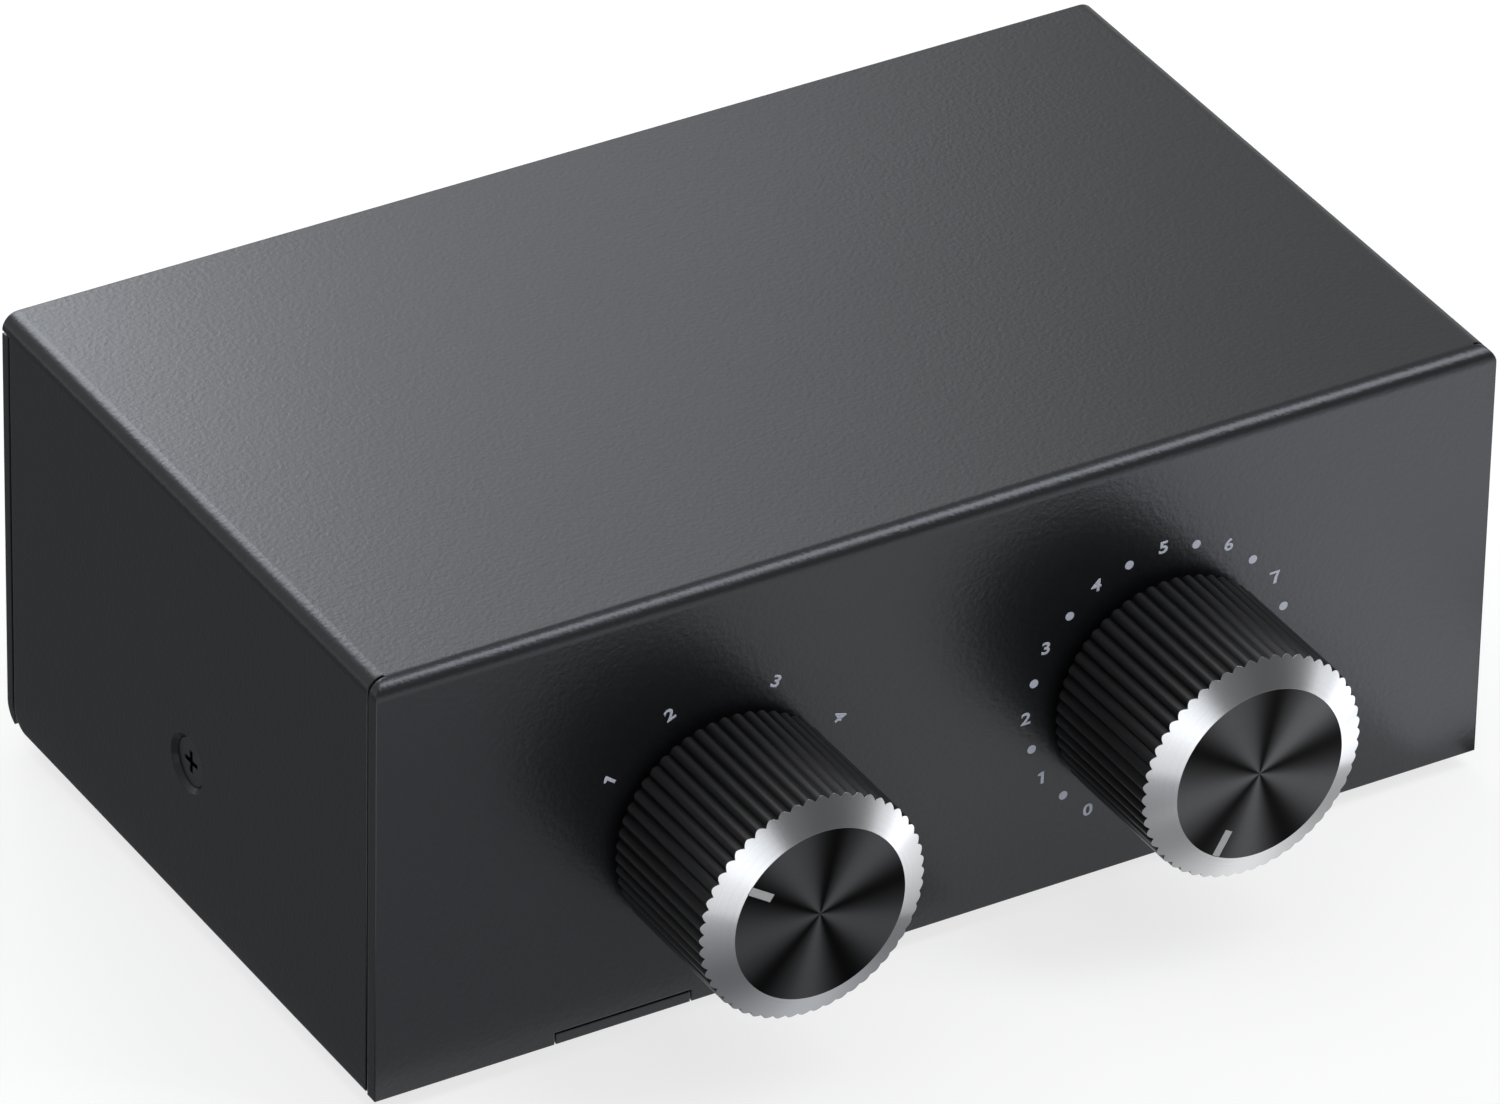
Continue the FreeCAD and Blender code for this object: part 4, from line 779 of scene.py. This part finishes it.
class SELECTOR_OT_print_front(bpy.types.Operator):
    """Print the numbers round both knobs and the dots between the volume numbers"""

    bl_idname = "selector.print_front"
    bl_label = "Print Front"

    def execute(self, context):
        ink = context.scene.selector_print
        paint = grained_material("dial ink", ink.ink, 0.55, 0.12 * MM, 0.001 * MM, edge=0,
                                 contrast=0.08)
        axis = SHAFTS["selector"]
        marks = []
        for text, degrees in SELECTOR_NUMBERS:
            turn = math.radians(degrees)
            x, z = on_dial(axis, ink.selector_radius, turn)
            digit = letter_mesh(text, ink.number_height, ink.slant, ink.width)
            marks.append((digit, x, z, turn))
        print_piece("selector_numbers", marks, FRONT, -1, paint)
        axis = SHAFTS["volume"]
        marks = []
        for number in range(VOLUME_NUMBERS):
            turn = math.radians(VOLUME_START + VOLUME_STEP * number)
            x, z = on_dial(axis, ink.volume_radius, turn)
            digit = letter_mesh(str(number), ink.number_height, ink.slant, ink.width)
            marks.append((digit, x, z + ink.volume_rise, 0.0))
        print_piece("volume_numbers", marks, FRONT, -1, paint)
        marks = []
        for gap in range(VOLUME_NUMBERS - 1):
            turn = math.radians(VOLUME_START + VOLUME_STEP * (gap + 0.5))
            x, z = on_dial(axis, ink.dot_ring, turn)
            marks.append((dot_mesh(ink.dot_radius), x, z + ink.volume_rise, 0.0))
        print_piece("volume_dots", marks, FRONT, -1, paint)
        return {"FINISHED"}


class SELECTOR_OT_print_rear(bpy.types.Operator):
    """Print plain numbers and letters by the sockets on the rear wall"""

    bl_idname = "selector.print_rear"
    bl_label = "Print Rear"

    def execute(self, context):
        ink = context.scene.selector_print
        paint = grained_material("rear ink", ink.ink, 0.55, 0.12 * MM, 0.001 * MM, edge=0,
                                 contrast=0.08)
        marks = []
        for pair, text in zip(PAIRS, ("OUT", "4", "3", "2", "1")):
            upper, lower = (middle_of(f"jack_{side}_insert_{pair}") for side in ("left", "right"))
            marks.append((letter_mesh(text, ink.rear_height), upper.x,
                          upper.z + LABEL_ABOVE, 0.0))
            for letter, socket in (("L", upper), ("R", lower)):
                marks.append((letter_mesh(letter, ink.rear_height),
                              socket.x + LABEL_BESIDE, socket.z, 0.0))
        print_piece("rear_letters", marks, REAR, 1, paint)
        return {"FINISHED"}


class SELECTOR_OT_plate_sockets(bpy.types.Operator):
    """Plate the phono sockets and colour their inserts"""

    bl_idname = "selector.plate_sockets"
    bl_label = "Plate Sockets"

    def execute(self, context):
        metal = context.scene.selector_metal
        nickel = plated_material("nickel plate", metal.nickel, 0.3, metallic=0.8)
        left = grained_material("left insert", metal.left_insert, 0.3, 0.3 * MM, 0.001 * MM,
                                contrast=0.05)
        right = grained_material("right insert", metal.right_insert, 0.3, 0.3 * MM, 0.001 * MM,
                                 contrast=0.05)
        block = grained_material("socket moulding", metal.moulding, 0.45, 0.25 * MM,
                                 0.004 * MM)
        for pair in PAIRS:
            dress(nickel, f"jack_sleeves_{pair}", f"jack_contacts_{pair}")
            dress(left, f"jack_left_insert_{pair}")
            dress(right, f"jack_right_insert_{pair}")
            dress(block, f"jack_housing_{pair}")
        return {"FINISHED"}


class SELECTOR_OT_finish_board(bpy.types.Operator):
    """Give the main board its solder resist over woven glass"""

    bl_idname = "selector.finish_board"
    bl_label = "Finish Board"

    def execute(self, context):
        metal = context.scene.selector_metal
        resist = grained_material("solder resist", metal.board, 0.3, 0.6 * MM, 0.002 * MM,
                                  contrast=0.2)
        dress(resist, "main_board")
        return {"FINISHED"}


class SELECTOR_OT_finish_switch(bpy.types.Operator):
    """Finish the rotary switch: casting, housing, rotor and contacts"""

    bl_idname = "selector.finish_switch"
    bl_label = "Finish Switch"

    def execute(self, context):
        metal = context.scene.selector_metal
        dress(plated_material("switch casting", metal.aluminium, 0.45, 0.3 * MM, 0.004 * MM),
              "switch_frame")
        dress(grained_material("switch moulding", metal.moulding, 0.5, 0.25 * MM, 0.004 * MM),
              "switch_housing")
        dress(grained_material("rotor moulding", metal.left_insert, 0.4, 0.25 * MM,
                               0.002 * MM, contrast=0.06), "switch_rotor", "pot_rotors")
        dress(plated_material("contact metal", metal.brass, 0.3), "switch_terminals",
              "switch_wipers", "pot_terminals", "pot_wipers")
        return {"FINISHED"}


class SELECTOR_OT_finish_volume(bpy.types.Operator):
    """Finish the volume control: casting and resistance wafers"""

    bl_idname = "selector.finish_volume"
    bl_label = "Finish Volume Control"

    def execute(self, context):
        metal = context.scene.selector_metal
        dress(plated_material("volume casting", metal.aluminium, 0.42, 0.3 * MM, 0.004 * MM),
              "pot_frame")
        dress(grained_material("wafer laminate", metal.laminate, 0.5, 0.5 * MM, 0.003 * MM),
              "pot_front_wafer", "pot_rear_wafer")
        return {"FINISHED"}


class SELECTOR_OT_set_stage(bpy.types.Operator):
    """Set the pale floor, the soft lamps and the camera"""

    bl_idname = "selector.set_stage"
    bl_label = "Set Stage"

    def execute(self, context):
        studio = context.scene.selector_studio
        self.add_floor(studio)
        self.add_world()
        for name, place, width, height, level in LAMPS:
            self.add_lamp(name, place, width, height, level * studio.lamps)
        for name, level, sheets in CARDS:
            self.add_card(name, level, sheets)
        self.add_camera(context, studio)
        context.scene.view_settings.view_transform = "Standard"
        return {"FINISHED"}

    def seen_by(self, tree, *rays):
        """1 for these kinds of ray, and 0 for every other."""
        light_path = tree.nodes.new("ShaderNodeLightPath")
        seen = light_path.outputs[f"Is {rays[0]} Ray"]
        for ray in rays[1:]:
            seen = sums(tree, "MAXIMUM", seen, light_path.outputs[f"Is {ray} Ray"])
        return seen

    def add_floor(self, studio):
        bm = bmesh.new()
        bmesh.ops.create_circle(bm, cap_ends=True, radius=FLOOR_RADIUS, segments=64)
        floor = placed("floor", mesh_of(bm, "floor"))
        material, tree, shader = new_material("pale floor", studio.floor, 0.9)
        floor.data.materials.append(material)
        shader.inputs["Specular IOR Level"].default_value = 0.0
        seen = self.seen_by(tree, "Camera", "Glossy", "Transmission")
        white = joined(tree, "ShaderNodeEmission", (1.0, 1.0, 1.0, 1.0), FLOOR_WHITE)
        share = sums(tree, "MULTIPLY", seen, 1.0 - studio.shade)
        lit = joined(tree, "ShaderNodeMixShader", share, shader.outputs[0], white.outputs[0])
        below = joined(tree, "ShaderNodeMixShader",
                       tree.nodes.new("ShaderNodeNewGeometry").outputs["Backfacing"],
                       lit.outputs[0], tree.nodes.new("ShaderNodeBsdfTransparent").outputs[0])
        tree.links.new(below.outputs[0], tree.nodes["Material Output"].inputs["Surface"])

    def add_world(self):
        world = bpy.data.worlds.new("studio")
        bpy.context.scene.world = world
        world.use_nodes = True
        tree = world.node_tree
        seen = self.seen_by(tree, "Camera", "Transmission")
        toward = joined(tree, "ShaderNodeSeparateXYZ",
                        tree.nodes.new("ShaderNodeTexCoord").outputs["Generated"])
        room = joined(tree, "ShaderNodeMapRange", toward.outputs["Y"], -ROOM_BLEND, ROOM_BLEND,
                      ROOM_FRONT, ROOM_REAR)
        level = sums(tree, "MAXIMUM", seen, room.outputs[0])
        background = tree.nodes["Background"]
        background.inputs["Color"].default_value = (1.0, 1.0, 1.0, 1.0)
        tree.links.new(level, background.inputs["Strength"])

    def add_card(self, name, level, sheets):
        """Flat sheets on the floor that only the object's gloss reflects."""
        bm = bmesh.new()
        for left, front, right, rear in sheets:
            bm.faces.new([bm.verts.new((x * MM, y * MM, CARD_HEIGHT)) for x, y in (
                (left, front), (right, front), (right, rear), (left, rear))])
        card = placed(name, mesh_of(bm, name))
        card.visible_camera = card.visible_diffuse = card.visible_transmission = False
        card.visible_shadow = False
        material = bpy.data.materials.new(name)
        material.use_nodes = True
        tree = material.node_tree
        glow = joined(tree, "ShaderNodeEmission", (*LAMP_TINT, 1.0), level)
        tree.links.new(glow.outputs[0], tree.nodes["Material Output"].inputs["Surface"])
        card.data.materials.append(material)

    def add_lamp(self, name, place, width, height, radiance):
        """A soft rectangular lamp that faces the object and gives this radiance."""
        lamp = bpy.data.lights.new(name, "AREA")
        lamp.color = LAMP_TINT
        lamp.shape, lamp.size, lamp.size_y = "RECTANGLE", width, height
        lamp.energy = radiance * math.pi * width * height
        thing = placed(name, lamp)
        thing.location = place
        away = Vector(place) - LAMP_AIM
        thing.rotation_euler = away.to_track_quat("Z", "Y").to_euler()
        thing.visible_camera = False

    def add_camera(self, context, studio):
        lens = bpy.data.cameras.new("camera")
        lens.lens, lens.sensor_width, lens.sensor_fit = studio.lens, 36.0, "HORIZONTAL"
        lens.clip_start, lens.clip_end = 0.05, 100.0
        camera = placed("camera", lens)
        turned = (Matrix.Rotation(studio.azimuth, 4, "Z")
                  @ Matrix.Rotation(math.pi / 2 - studio.elevation, 4, "X")
                  @ Matrix.Rotation(studio.roll, 4, "Z"))
        back = turned.to_3x3() @ Vector((0, 0, 1))
        camera.matrix_world = (Matrix.Translation(Vector(studio.aim) + back * studio.distance)
                               @ turned)
        context.scene.camera = camera


class SELECTOR_PT_looks(bpy.types.Panel):
    """Lists the steps that dress the selector, with their settings"""

    bl_idname = "SELECTOR_PT_looks"
    bl_label = "Source Selector"
    bl_space_type = "VIEW_3D"
    bl_region_type = "UI"
    bl_category = "Selector"

    def draw(self, context):
        for operator in OPERATORS:
            self.layout.operator(operator.bl_idname)
        for name, group in SETTINGS.items():
            settings = getattr(context.scene, name)
            box = self.layout.box()
            box.label(text=group.__doc__)
            for field in group.__annotations__:
                box.prop(settings, field)


OPERATORS = (
    SELECTOR_OT_paint_case,
    SELECTOR_OT_fit_screws,
    SELECTOR_OT_stick_feet,
    SELECTOR_OT_turn_knobs,
    SELECTOR_OT_fill_pointers,
    SELECTOR_OT_print_front,
    SELECTOR_OT_print_rear,
    SELECTOR_OT_plate_sockets,
    SELECTOR_OT_finish_board,
    SELECTOR_OT_finish_switch,
    SELECTOR_OT_finish_volume,
    SELECTOR_OT_set_stage,
)
CLASSES = (*SETTINGS.values(), *OPERATORS, SELECTOR_PT_looks)


def register():
    for made in CLASSES:
        bpy.utils.register_class(made)
    for name, group in SETTINGS.items():
        setattr(bpy.types.Scene, name, bpy.props.PointerProperty(type=group))


def unregister():
    for name in SETTINGS:
        delattr(bpy.types.Scene, name)
    for made in reversed(CLASSES):
        bpy.utils.unregister_class(made)


def main():
    register()
    bpy.ops.selector.paint_case()
    bpy.ops.selector.fit_screws()
    bpy.ops.selector.stick_feet()
    bpy.ops.selector.turn_knobs()
    bpy.ops.selector.fill_pointers()
    bpy.ops.selector.print_front()
    bpy.ops.selector.print_rear()
    bpy.ops.selector.plate_sockets()
    bpy.ops.selector.finish_board()
    bpy.ops.selector.finish_switch()
    bpy.ops.selector.finish_volume()
    bpy.ops.selector.set_stage()


if __name__ == "__main__":
    main()
